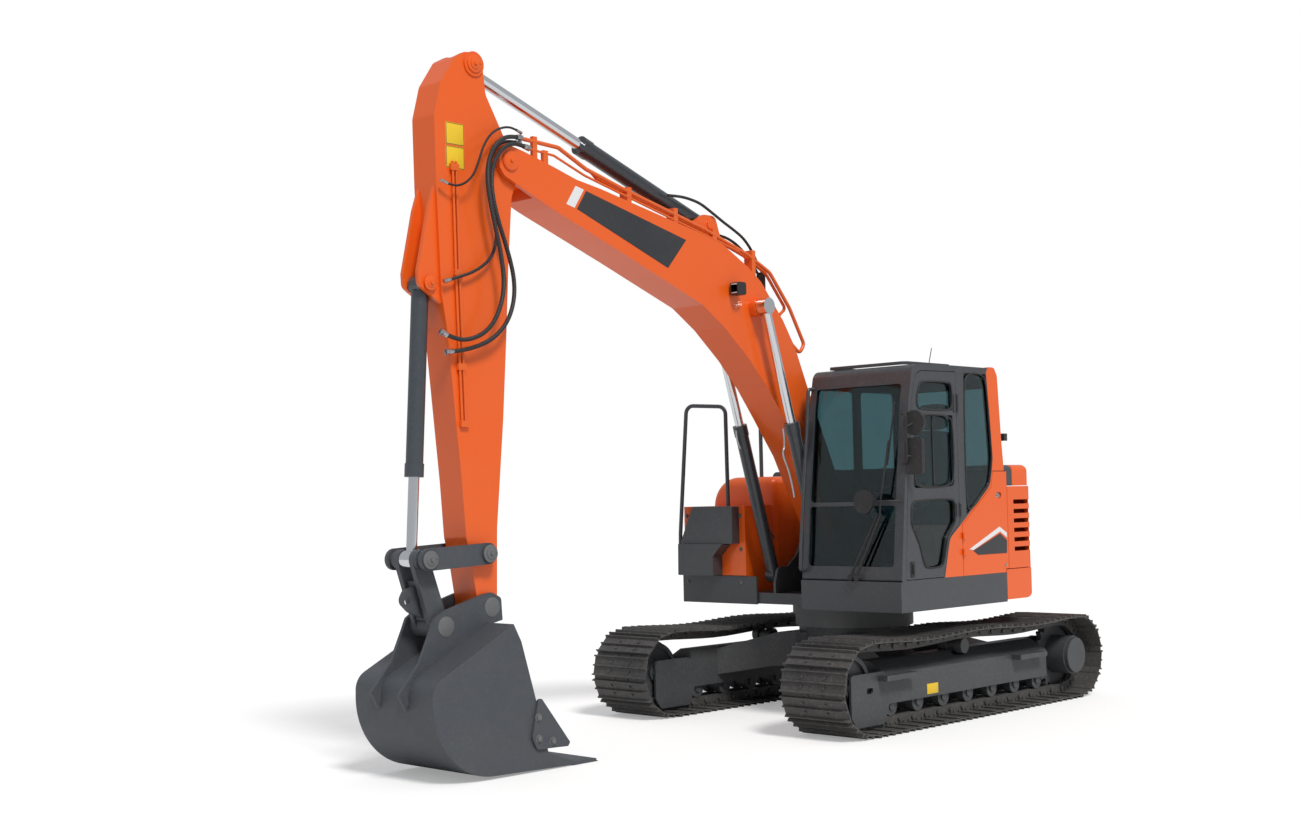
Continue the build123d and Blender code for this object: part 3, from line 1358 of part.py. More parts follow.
MIRROR_X = 1330
with BuildPart() as cab_mirrors:
    stay = [
        (CAB_LEFT - 12, -975, 2400),
        (CAB_LEFT + 35, -985, 2400),
        (CAB_LEFT + 35, -985, 2020),
        (CAB_LEFT - 12, -975, 2020),
    ]
    tube(stay, 30, 9)
    tube([(CAB_LEFT + 35, -985, 2300), (MIRROR_X, -935, 2330)], 0, 7)
    tube([(CAB_LEFT + 35, -985, 2075), (MIRROR_X, -935, 2075)], 0, 7)
    with BuildSketch(Plane.XZ.offset(925)) as disc:
        with Locations((MIRROR_X, 2330)):
            Circle(95)
    extrude(disc.sketch, amount=28)
    frontal(rectangle(MIRROR_X - 78, MIRROR_X + 78, 1935, 2215), 30, -965, -925)
    tube([(1225, -1000, 1737), (1180, -1085, 1737), (985, -1090, 1735)], 30, 8)
    with BuildSketch(Plane.XZ.offset(1092)) as front_disc:
        with Locations((960, 1733)):
            Circle(90)
    extrude(front_disc.sketch, amount=26)
cab_mirrors.part.label = "cab_mirrors"
export_step(cab_mirrors.part, "parts/cab_mirrors.step")

with BuildPart() as cab_rails:
    rail = [
        (314, -873, 2650),
        (312, -940, 2640),
        (312, -958, 2420),
        (312, -1042, 1740),
        (312, -1082, 1400),
        (312, -1095, 1205),
        (312, -1045, 1195),
    ]
    tube(rail, (20, 200, 200, 200, 15), 15)
cab_rails.part.label = "cab_rails"
export_step(cab_rails.part, "parts/cab_rails.step")

with BuildPart() as wiper:
    with BuildSketch(Plane.XZ.offset(1045)) as pivot:
        with Locations((790, 1150), (850, 1145)):
            Circle(24)
    extrude(pivot.sketch, amount=45)
    for shift in (0, 55):
        tube([(790 + shift, -1085, 1150), (1040 + shift / 2, -1040, 1640)], 0, 9)
    tube([(1055, -1040, 1600), (1062, -1035, 1740), (1120, -985, 2200)], 200, 8)
    tube([(1100, -985, 2010), (1160, -948, 2500)], 0, 7)
wiper.part.label = "wiper"
export_step(wiper.part, "parts/wiper.step")

# Oil pipes clamped along the boom's top, left of the arm cylinder
PIPE_X = BOOM_X + 148
ARM_SWEEP_END = -3110
PIPE_ROUTE = [
    (-3770, 4315),
    (-3430, 4300),
    (-3160, 4180),
    (-2800, 4085),
    (-1900, 3875),
    (-1390, 3720),
    (-1120, 3600),
    (-880, 3330),
    (-700, 3040),
    (-760, 2960),
    (-860, 3030),
]
with BuildPart() as boom_pipes:
    outer_route = [(PIPE_X, y, z) for y, z in PIPE_ROUTE]
    tube(outer_route, (60, 120, 200, 200, 300, 150, 200, 40, 40), 15)
    branch = [(PIPE_X - 2, -3105, 4163), (PIPE_X - 42, -3020, 4140)]
    inner_route = [(PIPE_X - 42, y, z - 4) for y, z in PIPE_ROUTE[3:8]]
    tube(branch + inner_route + [(PIPE_X - 42, -960, 3270)], (30, 120, 200, 300, 150, 30), 13)
    low_route = [
        (PIPE_X + 6, -3700, 4250),
        (PIPE_X + 6, -3480, 4235),
        (PIPE_X + 6, -3180, 4130),
        (PIPE_X + 6, -2800, 4040),
        (PIPE_X + 6, -1500, 3735),
    ]
    tube(low_route, (60, 120, 200), 9)
    for y, z in ((-3560, 4150), (-2730, 3990), (-2230, 3890), (-1790, 3780), (-1330, 3570)):
        top = z + 190 if y > -1400 else z + 110
        inner_edge = PIPE_X - 18 if y < ARM_SWEEP_END else PIPE_X - 70
        slab(rectangle(inner_edge, PIPE_X + 12, y - 22, y + 22), 0, z - 20, top)
    frontal(rectangle(PIPE_X - 18, PIPE_X + 12, 4150, 4345), 0, -3680, -3640)
    add(boom.part, mode=Mode.SUBTRACT)
boom_pipes.part.label = "boom_pipes"
export_step(boom_pipes.part, "parts/boom_pipes.step")

# Thin pipes along the arm's left side and its clamps
ARM_PIPE_X = BOOM_X + ARM_HALF + 14
with BuildPart() as arm_pipes:
    tube([(ARM_PIPE_X, -4380, 4080), (ARM_PIPE_X, -4365, 3300), (ARM_PIPE_X, -4330, 2300)], 400, 9)
    tube([(ARM_PIPE_X, -4350, 4080), (ARM_PIPE_X, -4335, 3300), (ARM_PIPE_X, -4300, 2300)], 400, 9)
    for y, z in ((-4372, 4040), (-4350, 3330), (-4335, 2700), (-4316, 2320)):
        plate(rectangle(y - 30, y + 40, z - 22, z + 22), 4, BOOM_X + ARM_HALF, ARM_PIPE_X + 12)
arm_pipes.part.label = "arm_pipes"
export_step(arm_pipes.part, "parts/arm_pipes.step")

# Hoses from the boom's tip, hanging beside the arm, each at its real length
HOSE_ROUTES = {
    "hose_outer": (
        15,
        [
            (92, -3792, 4318),
            (122, -3900, 4310),
            (168, -4035, 4262),
            (190, -4135, 4170),
            (192, -4182, 4040),
            (191, -4170, 3870),
            (192, -4120, 3660),
            (190, -4065, 3460),
            (188, -4040, 3270),
            (185, -4072, 3110),
            (178, -4155, 2965),
            (165, -4285, 2885),
            (150, -4430, 2865),
            (137, -4545, 2915),
        ],
    ),
    "hose_inner": (
        15,
        [
            (94, -3722, 4256),
            (104, -3815, 4268),
            (130, -3915, 4254),
            (149, -4015, 4198),
            (150, -4082, 4105),
            (151, -4112, 3990),
            (150, -4100, 3860),
            (151, -4055, 3700),
            (150, -3975, 3510),
            (151, -3918, 3320),
            (150, -3922, 3160),
            (148, -3985, 3010),
            (142, -4100, 2900),
            (132, -4230, 2840),
            (120, -4365, 2803),
            (110, -4478, 2790),
        ],
    ),
    "hose_small": (
        8,
        [
            (70, -3770, 4362),
            (88, -3850, 4380),
            (118, -3960, 4365),
            (150, -4090, 4310),
            (166, -4185, 4205),
            (170, -4235, 4080),
            (160, -4275, 3980),
            (140, -4345, 3915),
            (122, -4425, 3898),
            (108, -4500, 3928),
        ],
    ),
    "hose_middle": (
        11,
        [
            (76, -3785, 4285),
            (84, -3900, 4288),
            (100, -4018, 4230),
            (112, -4090, 4110),
            (113, -4102, 3960),
            (112, -4083, 3820),
            (113, -4042, 3690),
            (112, -4040, 3560),
            (111, -4092, 3440),
            (109, -4220, 3350),
            (106, -4370, 3295),
            (102, -4480, 3262),
        ],
    ),
}
RUN_SHARE = 0.45
STRAIGHTEST = 4000


def bend_radii(route):
    """Arc at each inner point, as large as its two runs allow."""
    radii = []
    for before, point, after in zip(route, route[1:], route[2:]):
        arriving = Vector(point) - Vector(before)
        leaving = Vector(after) - Vector(point)
        turn = radians(arriving.get_angle(leaving))
        shorter = min(arriving.length, leaving.length)
        radii.append(min(RUN_SHARE * shorter / tan(turn / 2), STRAIGHTEST))
    return radii


for label, (hose_radius, route) in HOSE_ROUTES.items():
    radii = bend_radii(route)
    print(label, "bend radii", [round(value) for value in radii])
    with BuildPart() as hose:
        tube(route, radii, hose_radius)
    hose.part.label = label
    export_step(hose.part, f"parts/{label}.step")

with BuildPart() as bend_hoses:
    over_bend = [
        (57, -2270, 4100),
        (59, -2090, 4108),
        (58, -1910, 4082),
        (57, -1770, 4022),
        (54, -1630, 3960),
        (48, -1500, 3912),
        (36, -1380, 3865),
        (20, -1275, 3795),
        (8, -1190, 3700),
        (5, -1115, 3610),
    ]
    under_bend = [
        (-25, -1600, 3870),
        (-26, -1500, 3858),
        (-25, -1400, 3822),
        (-26, -1300, 3763),
        (-25, -1205, 3680),
        (-26, -1130, 3600),
    ]
    for route in (over_bend, under_bend):
        tube(route, bend_radii(route), 11)
    slab(rectangle(-45, 25, -1128, -1100), 0, 3330, 3612)
    add(boom.part, mode=Mode.SUBTRACT)
bend_hoses.part.label = "bend_hoses"
export_step(bend_hoses.part, "parts/bend_hoses.step")
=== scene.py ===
import bpy
import bmesh
import json
from math import cos, pi, radians, sin
from mathutils import Matrix, Vector


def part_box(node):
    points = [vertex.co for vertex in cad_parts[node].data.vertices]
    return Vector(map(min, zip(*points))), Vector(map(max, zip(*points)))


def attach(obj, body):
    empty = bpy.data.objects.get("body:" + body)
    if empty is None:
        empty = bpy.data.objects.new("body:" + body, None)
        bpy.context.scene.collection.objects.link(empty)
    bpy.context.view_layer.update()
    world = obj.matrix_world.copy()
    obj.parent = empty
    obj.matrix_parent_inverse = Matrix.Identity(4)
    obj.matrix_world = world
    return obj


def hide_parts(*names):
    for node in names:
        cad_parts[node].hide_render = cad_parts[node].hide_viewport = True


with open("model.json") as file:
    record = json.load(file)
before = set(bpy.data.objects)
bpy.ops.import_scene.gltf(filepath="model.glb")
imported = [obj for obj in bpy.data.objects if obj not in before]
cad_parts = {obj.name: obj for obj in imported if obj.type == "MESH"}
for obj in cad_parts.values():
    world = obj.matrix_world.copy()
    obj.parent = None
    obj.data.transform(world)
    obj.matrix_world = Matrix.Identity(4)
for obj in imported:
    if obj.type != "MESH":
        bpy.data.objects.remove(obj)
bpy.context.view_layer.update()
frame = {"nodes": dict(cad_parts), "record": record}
nodes = frame["nodes"]

# Camera at the photograph's viewing angle
YAW, PITCH, ROLL = 0.7689, 0.0486, -0.021
ahead = Vector((-sin(YAW) * cos(PITCH), cos(YAW) * cos(PITCH), sin(PITCH)))
level = Vector((cos(YAW), sin(YAW), 0))
upright = level.cross(ahead)
image_right = cos(ROLL) * level + sin(ROLL) * upright
image_up = -sin(ROLL) * level + cos(ROLL) * upright
camera = bpy.data.objects.new("camera", bpy.data.cameras.new("camera"))
bpy.context.scene.collection.objects.link(camera)
turn = Matrix((image_right, image_up, -ahead)).transposed().to_4x4()
camera.matrix_world = Matrix.Translation((8.541, -11.285, 1.8125)) @ turn
camera.data.sensor_width = 36
camera.data.lens = 1636 / 1300 * 36
camera.data.clip_end = 200
bpy.context.scene.camera = camera

# Light: a pale sky and one soft high key from the machine's left
scene = bpy.context.scene
scene.view_settings.view_transform = "Standard"
world = bpy.data.worlds.new("studio")
scene.world = world
world.use_nodes = True
sky = world.node_tree
sky.nodes.clear()
sky_out = sky.nodes.new("ShaderNodeOutputWorld")
sky_mix = sky.nodes.new("ShaderNodeMixShader")
sky_light = sky.nodes.new("ShaderNodeBackground")
sky_seen = sky.nodes.new("ShaderNodeBackground")
sky_light.inputs["Color"].default_value = (0.94, 0.97, 1, 1)
sky_light.inputs["Strength"].default_value = 0.46
sky_seen.inputs["Color"].default_value = (1, 1, 1, 1)
sky_path = sky.nodes.new("ShaderNodeLightPath")
sky_any = sky.nodes.new("ShaderNodeMath")
sky_any.operation = "MAXIMUM"
sky.links.new(sky_path.outputs["Is Camera Ray"], sky_any.inputs[0])
sky.links.new(sky_path.outputs["Is Transmission Ray"], sky_any.inputs[1])
sky.links.new(sky_any.outputs[0], sky_mix.inputs["Fac"])
sky.links.new(sky_light.outputs[0], sky_mix.inputs[1])
sky.links.new(sky_seen.outputs[0], sky_mix.inputs[2])
sky.links.new(sky_mix.outputs[0], sky_out.inputs["Surface"])

key = bpy.data.objects.new("key", bpy.data.lights.new("key", "SUN"))
key.data.energy = 2.3
key.data.angle = radians(14)
key.data.color = (1, 0.985, 0.96)
key.matrix_world = Vector((0.62, -0.22, 0.76)).to_track_quat("Z", "Y").to_matrix().to_4x4()
scene.collection.objects.link(key)

floor_mesh = bmesh.new()
bmesh.ops.create_grid(floor_mesh, x_segments=1, y_segments=1, size=60)
floor_data = bpy.data.meshes.new("floor")
floor_mesh.to_mesh(floor_data)
floor_mesh.free()
floor = bpy.data.objects.new("floor", floor_data)
scene.collection.objects.link(floor)
pale = bpy.data.materials.new("pale_floor")
pale.use_nodes = True
pale_tree = pale.node_tree
pale_bsdf = pale_tree.nodes["Principled BSDF"]
pale_bsdf.inputs["Base Color"].default_value = (0.78, 0.78, 0.78, 1)
pale_bsdf.inputs["Roughness"].default_value = 0.9
pale_bsdf.inputs["Emission Color"].default_value = (1, 1, 1, 1)
pale_path = pale_tree.nodes.new("ShaderNodeLightPath")
pale_level = pale_tree.nodes.new("ShaderNodeMath")
pale_level.operation = "MULTIPLY"
pale_level.inputs[1].default_value = 0.3
pale_tree.links.new(pale_path.outputs["Is Camera Ray"], pale_level.inputs[0])
pale_tree.links.new(pale_level.outputs[0], pale_bsdf.inputs["Emission Strength"])
floor_data.materials.append(pale)


# Shared effects
def group_with(name, inputs, outputs):
    """Empty shader node group with named sockets, and its two end nodes."""
    group = bpy.data.node_groups.new(name, "ShaderNodeTree")
    for label, kind, value in inputs:
        socket = group.interface.new_socket(label, in_out="INPUT", socket_type=kind)
        socket.default_value = value
    for label, kind in outputs:
        group.interface.new_socket(label, in_out="OUTPUT", socket_type=kind)
    return group, group.nodes.new("NodeGroupInput"), group.nodes.new("NodeGroupOutput")


def noise(tree, place, scale, detail, low, high):
    """Noise read over a range, as a mask from 0 to 1."""
    cloud = tree.nodes.new("ShaderNodeTexNoise")
    cloud.inputs["Detail"].default_value = detail
    if isinstance(scale, (int, float)):
        cloud.inputs["Scale"].default_value = scale
    else:
        tree.links.new(scale, cloud.inputs["Scale"])
    tree.links.new(place, cloud.inputs["Vector"])
    span = tree.nodes.new("ShaderNodeMapRange")
    span.inputs["From Min"].default_value = low
    span.inputs["From Max"].default_value = high
    tree.links.new(cloud.outputs["Fac"], span.inputs["Value"])
    return span.outputs["Result"]


def math(tree, operation, first, second):
    """One sum of two sockets or numbers."""
    node = tree.nodes.new("ShaderNodeMath")
    node.operation = operation
    for index, value in enumerate((first, second)):
        if isinstance(value, (int, float)):
            node.inputs[index].default_value = value
        else:
            tree.links.new(value, node.inputs[index])
    return node.outputs[0]


def mixed(tree, share, first, second):
    """Colour between two, by a share."""
    node = tree.nodes.new("ShaderNodeMix")
    node.data_type = "RGBA"
    for index, value in ((0, share), (6, first), (7, second)):
        if isinstance(value, (int, float, tuple)):
            node.inputs[index].default_value = value
        else:
            tree.links.new(value, node.inputs[index])
    return node.outputs[2]


dusty, dusty_in, dusty_out = group_with(
    "dust_and_grain",
    (
        ("Paint", "NodeSocketColor", (0.5, 0.5, 0.5, 1)),
        ("Dust", "NodeSocketColor", (0.3, 0.27, 0.22, 1)),
        ("Dust Amount", "NodeSocketFloat", 0.1),
        ("Roughness", "NodeSocketFloat", 0.4),
        ("Grain Scale", "NodeSocketFloat", 300.0),
    ),
    (("Colour", "NodeSocketColor"), ("Roughness", "NodeSocketFloat"), ("Height", "NodeSocketFloat")),
)
place = dusty.nodes.new("ShaderNodeTexCoord").outputs["Object"]
patches = noise(dusty, place, 1.7, 6, 0.35, 0.75)
specks = noise(dusty, place, 38, 5, 0.5, 0.8)
grain = noise(dusty, place, dusty_in.outputs["Grain Scale"], 3, 0.2, 0.8)
settled = math(dusty, "ADD", math(dusty, "MULTIPLY", patches, 0.6), specks)
cover = math(dusty, "MULTIPLY", settled, dusty_in.outputs["Dust Amount"])
dusty.links.new(mixed(dusty, cover, dusty_in.outputs["Paint"], dusty_in.outputs["Dust"]),
                dusty_out.inputs["Colour"])
rougher = math(dusty, "ADD", dusty_in.outputs["Roughness"], math(dusty, "MULTIPLY", patches, 0.1))
roughest = math(dusty, "ADD", rougher, math(dusty, "MULTIPLY", cover, 0.3))
dusty.links.new(roughest, dusty_out.inputs["Roughness"])
dusty.links.new(grain, dusty_out.inputs["Height"])

worn, worn_in, worn_out = group_with(
    "rubbed_metal",
    (
        ("Colour", "NodeSocketColor", (0.1, 0.1, 0.1, 1)),
        ("Bare", "NodeSocketColor", (0.4, 0.39, 0.37, 1)),
        ("Amount", "NodeSocketFloat", 0.3),
    ),
    (("Colour", "NodeSocketColor"), ("Mask", "NodeSocketFloat")),
)
worn_place = worn.nodes.new("ShaderNodeTexCoord").outputs["Object"]
rubs = noise(worn, worn_place, 9, 8, 0.48, 0.72)
streaks = noise(worn, worn_place, 60, 4, 0.45, 0.7)
rubbed = math(worn, "MULTIPLY", math(worn, "MULTIPLY", rubs, streaks), worn_in.outputs["Amount"])
bared = mixed(worn, rubbed, worn_in.outputs["Colour"], worn_in.outputs["Bare"])
worn.links.new(bared, worn_out.inputs["Colour"])
worn.links.new(rubbed, worn_out.inputs["Mask"])


def placed_group(tree, group, values):
    """A group in a material, with its own values."""
    node = tree.nodes.new("ShaderNodeGroup")
    node.node_tree = group
    for label, value in values.items():
        node.inputs[label].default_value = value
    return node


DUST = (0.32, 0.29, 0.25, 1)


def finish(name, paint, rough, dust=0.06, grain=300.0, bump=0.05, metal=0.0, rub=0.0,
           bare=(0.4, 0.39, 0.37, 1), coat=0.0, bump_distance=0.001):
    """Painted or bare metal, plastic or rubber with dust, grain and rubbed places."""
    material = bpy.data.materials.new(name)
    material.use_nodes = True
    tree = material.node_tree
    bsdf = tree.nodes["Principled BSDF"]
    bsdf.inputs["Metallic"].default_value = metal
    if coat:
        bsdf.inputs["Coat Weight"].default_value = coat
        bsdf.inputs["Coat Roughness"].default_value = 0.12
    skin = placed_group(tree, dusty, {"Paint": (*paint, 1), "Dust": DUST, "Dust Amount": dust,
                                      "Roughness": rough, "Grain Scale": grain})
    colour = skin.outputs["Colour"]
    if rub:
        wear = placed_group(tree, worn, {"Bare": bare, "Amount": rub})
        tree.links.new(colour, wear.inputs["Colour"])
        colour = wear.outputs["Colour"]
        if metal < 0.5:
            tree.links.new(wear.outputs["Mask"], bsdf.inputs["Metallic"])
    tree.links.new(colour, bsdf.inputs["Base Color"])
    tree.links.new(skin.outputs["Roughness"], bsdf.inputs["Roughness"])
    relief = tree.nodes.new("ShaderNodeBump")
    relief.inputs["Strength"].default_value = bump
    relief.inputs["Distance"].default_value = bump_distance
    tree.links.new(skin.outputs["Height"], relief.inputs["Height"])
    tree.links.new(relief.outputs["Normal"], bsdf.inputs["Normal"])
    return material


ORANGE = (0.84, 0.115, 0.006)
orange = finish("orange_paint", ORANGE, 0.32, dust=0.03, grain=420.0, bump=0.12, coat=0.25)
pipe_orange = finish("pipe_orange", (0.80, 0.125, 0.012), 0.3, dust=0.08, grain=500.0, bump=0.1)
dark = finish("dark_paint", (0.042, 0.046, 0.054), 0.34, dust=0.07, grain=380.0, bump=0.15, coat=0.25)
undercarriage = finish("undercarriage_paint", (0.052, 0.056, 0.062), 0.42, dust=0.12, grain=260.0,
                       bump=0.2, rub=0.12)
track_steel = finish("track_steel", (0.052, 0.051, 0.052), 0.5, dust=0.2, grain=180.0, bump=0.5,
                     metal=0.25, rub=0.5, bare=(0.26, 0.255, 0.25, 1))
bucket_steel = finish("bucket_paint", (0.062, 0.07, 0.082), 0.44, dust=0.07, grain=520.0, bump=0.75,
                      rub=0.08, bump_distance=0.0016)
cylinder_dark = finish("cylinder_paint", (0.024, 0.028, 0.036), 0.28, dust=0.06, grain=400.0,
                       bump=0.1, coat=0.4)
bucket_cylinder = finish("bucket_cylinder_paint", (0.042, 0.052, 0.064), 0.3, dust=0.05, grain=400.0,
                         bump=0.1, coat=0.4)
chrome = finish("chrome", (0.78, 0.8, 0.83), 0.09, dust=0.02, grain=900.0, bump=0.02, metal=1.0)
steel = finish("plated_steel", (0.5, 0.51, 0.52), 0.3, dust=0.08, grain=500.0, bump=0.1, metal=1.0)
black_plastic = finish("black_plastic", (0.018, 0.018, 0.02), 0.45, dust=0.06, grain=700.0, bump=0.35)
rubber = finish("rubber", (0.014, 0.014, 0.015), 0.6, dust=0.12, grain=900.0, bump=0.3)
iron = finish("cast_iron", (0.13, 0.135, 0.14), 0.5, dust=0.12, grain=220.0, bump=0.5, rub=0.2)
white_band = finish("white_band", (0.8, 0.8, 0.8), 0.35, dust=0.04, bump=0.03)
dark_band = finish("dark_band", (0.03, 0.031, 0.036), 0.3, dust=0.04, bump=0.03)
yellow_plate = finish("yellow_plate", (0.86, 0.56, 0.02), 0.35, dust=0.06, bump=0.03)
mirror_face = finish("mirror_face", (0.75, 0.78, 0.8), 0.03, dust=0.02, bump=0.0, metal=1.0)
lens_clear = finish("lens_clear", (0.72, 0.75, 0.78), 0.08, dust=0.03, bump=0.02, coat=1.0)


def glass_finish(name, tint):
    """Tinted pane with faint smears."""
    material = bpy.data.materials.new(name)
    material.use_nodes = True
    tree = material.node_tree
    bsdf = tree.nodes["Principled BSDF"]
    bsdf.inputs["Base Color"].default_value = (*tint, 1)
    bsdf.inputs["Transmission Weight"].default_value = 1
    bsdf.inputs["IOR"].default_value = 1.45
    smears = noise(tree, tree.nodes.new("ShaderNodeTexCoord").outputs["Object"], 5, 5, 0.3, 0.8)
    tree.links.new(math(tree, "MULTIPLY", smears, 0.02), bsdf.inputs["Roughness"])
    return material


glass = glass_finish("teal_glass", (0.17, 0.29, 0.31))

weave = bpy.data.materials.new("seat_cloth")
weave.use_nodes = True
weave_tree = weave.node_tree
weave_bsdf = weave_tree.nodes["Principled BSDF"]
weave_place = weave_tree.nodes.new("ShaderNodeTexCoord").outputs["Object"]
threads = weave_tree.nodes.new("ShaderNodeTexWave")
threads.inputs["Scale"].default_value = 180
threads.bands_direction = "DIAGONAL"
weave_tree.links.new(weave_place, threads.inputs["Vector"])
cloth_patch = noise(weave_tree, weave_place, 12, 4, 0.3, 0.8)
weave_tree.links.new(mixed(weave_tree, cloth_patch, (0.16, 0.2, 0.24, 1), (0.22, 0.27, 0.31, 1)),
                     weave_bsdf.inputs["Base Color"])
weave_bsdf.inputs["Roughness"].default_value = 0.85
weave_bsdf.inputs["Sheen Weight"].default_value = 0.3
weave_relief = weave_tree.nodes.new("ShaderNodeBump")
weave_relief.inputs["Strength"].default_value = 0.3
weave_relief.inputs["Distance"].default_value = 0.001
weave_tree.links.new(threads.outputs["Fac"], weave_relief.inputs["Height"])
weave_tree.links.new(weave_relief.outputs["Normal"], weave_bsdf.inputs["Normal"])

wrapped = bpy.data.materials.new("spiral_hose_guard")
wrapped.use_nodes = True
wrapped_tree = wrapped.node_tree
wrapped_bsdf = wrapped_tree.nodes["Principled BSDF"]
hose_uv = wrapped_tree.nodes.new("ShaderNodeTexCoord").outputs["UV"]
coil = wrapped_tree.nodes.new("ShaderNodeTexWave")
coil.inputs["Scale"].default_value = 38
coil.bands_direction = "X"
slant = wrapped_tree.nodes.new("ShaderNodeMapping")
slant.inputs["Rotation"].default_value = (0, 0, 0.02)
wrapped_tree.links.new(hose_uv, slant.inputs["Vector"])
wrapped_tree.links.new(slant.outputs["Vector"], coil.inputs["Vector"])
coil_colour = mixed(wrapped_tree, coil.outputs["Fac"], (0.012, 0.012, 0.013, 1), (0.035, 0.036, 0.04, 1))
wrapped_tree.links.new(coil_colour, wrapped_bsdf.inputs["Base Color"])
wrapped_bsdf.inputs["Roughness"].default_value = 0.42
coil_relief = wrapped_tree.nodes.new("ShaderNodeBump")
coil_relief.inputs["Strength"].default_value = 0.8
coil_relief.inputs["Distance"].default_value = 0.003
wrapped_tree.links.new(coil.outputs["Fac"], coil_relief.inputs["Height"])
wrapped_tree.links.new(coil_relief.outputs["Normal"], wrapped_bsdf.inputs["Normal"])

FINISHES = {
    "orange": orange, "dark": dark, "undercarriage": undercarriage, "track_steel": track_steel,
    "bucket_steel": bucket_steel, "chrome": chrome, "cylinder_dark": cylinder_dark, "glass": glass,
    "black_plastic": black_plastic, "fabric": weave, "rubber": rubber, "lamp": black_plastic, "iron": iron,
    "pipe_orange": pipe_orange,
}
# Both barrels differ from their slot's finish: the record's slot for the boom barrels is orange
OWN_FINISHES = {"bucket_barrel": bucket_cylinder, "boom_barrels": cylinder_dark}
node_slots = {part["node"]: part["material_slot"] for part in frame["record"]["subparts"]}
for label, node in nodes.items():
    node.data.materials.clear()
    node.data.materials.append(OWN_FINISHES.get(label, FINISHES[node_slots[label]]))


# Making pieces
def piece(bm, name, material, body, angle=32):
    """Turns a finished bmesh into a piece that rides on a body."""
    bmesh.ops.remove_doubles(bm, verts=bm.verts, dist=0.00002)
    bmesh.ops.recalc_face_normals(bm, faces=bm.faces)
    data = bpy.data.meshes.new(name)
    bm.to_mesh(data)
    bm.free()
    for face in data.polygons:
        face.use_smooth = True
    data.set_sharp_from_angle(angle=radians(angle))
    data.materials.append(material)
    made = bpy.data.objects.new(name, data)
    scene.collection.objects.link(made)
    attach(made, body)
    return made


def absorb(bm, part):
    """Adds one small bmesh to a larger one."""
    data = bpy.data.meshes.new("part")
    part.to_mesh(data)
    part.free()
    bm.from_mesh(data)
    bpy.data.meshes.remove(data)


def block(bm, low, high, soft=0.003, turn_by=None, segments=2):
    """Box with softened edges between two corners, turned about its middle if asked."""
    part = bmesh.new()
    bmesh.ops.create_cube(part, size=1)
    low, high = Vector(low), Vector(high)
    size = high - low
    bmesh.ops.scale(part, vec=size, verts=part.verts)
    if soft:
        bmesh.ops.bevel(part, geom=part.edges, offset=soft, affect="EDGES", segments=segments,
                        profile=0.5, material=-1)
    if turn_by:
        bmesh.ops.rotate(part, cent=(0, 0, 0), matrix=turn_by, verts=part.verts)
    bmesh.ops.translate(part, vec=(low + high) / 2, verts=part.verts)
    absorb(bm, part)


def bar(bm, start, end, radius, sides=20, end_radius=None, soft=0.0):
    """Round bar between two points."""
    start, end = Vector(start), Vector(end)
    run = end - start
    part = bmesh.new()
    bmesh.ops.create_cone(part, cap_ends=True, segments=sides, radius1=radius,
                          radius2=radius if end_radius is None else end_radius, depth=run.length)
    if soft:
        rims = [edge for edge in part.edges if len(edge.link_faces) == 2
                and max(len(face.verts) for face in edge.link_faces) > 4]
        bmesh.ops.bevel(part, geom=rims, offset=soft, affect="EDGES", segments=2, profile=0.5, material=-1)
    bmesh.ops.rotate(part, cent=(0, 0, 0), matrix=run.to_track_quat("Z", "Y").to_matrix(), verts=part.verts)
    bmesh.ops.translate(part, vec=(start + end) / 2, verts=part.verts)
    absorb(bm, part)


def bolt(bm, at, outward, radius=0.009, washer=True):
    """Hexagon bolt head on a washer."""
    at, outward = Vector(at), Vector(outward).normalized()
    if washer:
        bar(bm, at - outward * 0.001, at + outward * 0.002, radius * 1.45, 16)
    bar(bm, at, at + outward * radius * 0.85, radius, 6, soft=radius * 0.12)


def sheet_shape(bm, outline, depth):
    """Flat outline of points, thickened along a depth vector."""
    part = bmesh.new()
    corners = [part.verts.new(point) for point in outline]
    part.faces.new(corners)
    grown = bmesh.ops.extrude_face_region(part, geom=part.faces[:])
    moved = [item for item in grown["geom"] if isinstance(item, bmesh.types.BMVert)]
    bmesh.ops.translate(part, vec=depth, verts=moved)
    absorb(bm, part)


def line_piece(name, routes, radius, material, body, round_corners=False, closed=False):
    """Rigid round pipes or seals along routes, as one curve piece with bevelled section."""
    data = bpy.data.curves.new(name, "CURVE")
    data.dimensions = "3D"
    data.bevel_depth = radius
    data.bevel_resolution = 3
    data.use_fill_caps = True
    for route in routes:
        kind = "NURBS" if round_corners else "POLY"
        spline = data.splines.new(kind)
        spline.points.add(len(route) - 1)
        for point, place_at in zip(spline.points, route):
            point.co = (*place_at, 1)
        spline.use_cyclic_u = closed
        if round_corners:
            spline.order_u = 3
            spline.use_endpoint_u = not closed
            spline.resolution_u = 6
    data.materials.append(material)
    made = bpy.data.objects.new(name, data)
    scene.collection.objects.link(made)
    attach(made, body)
    return made


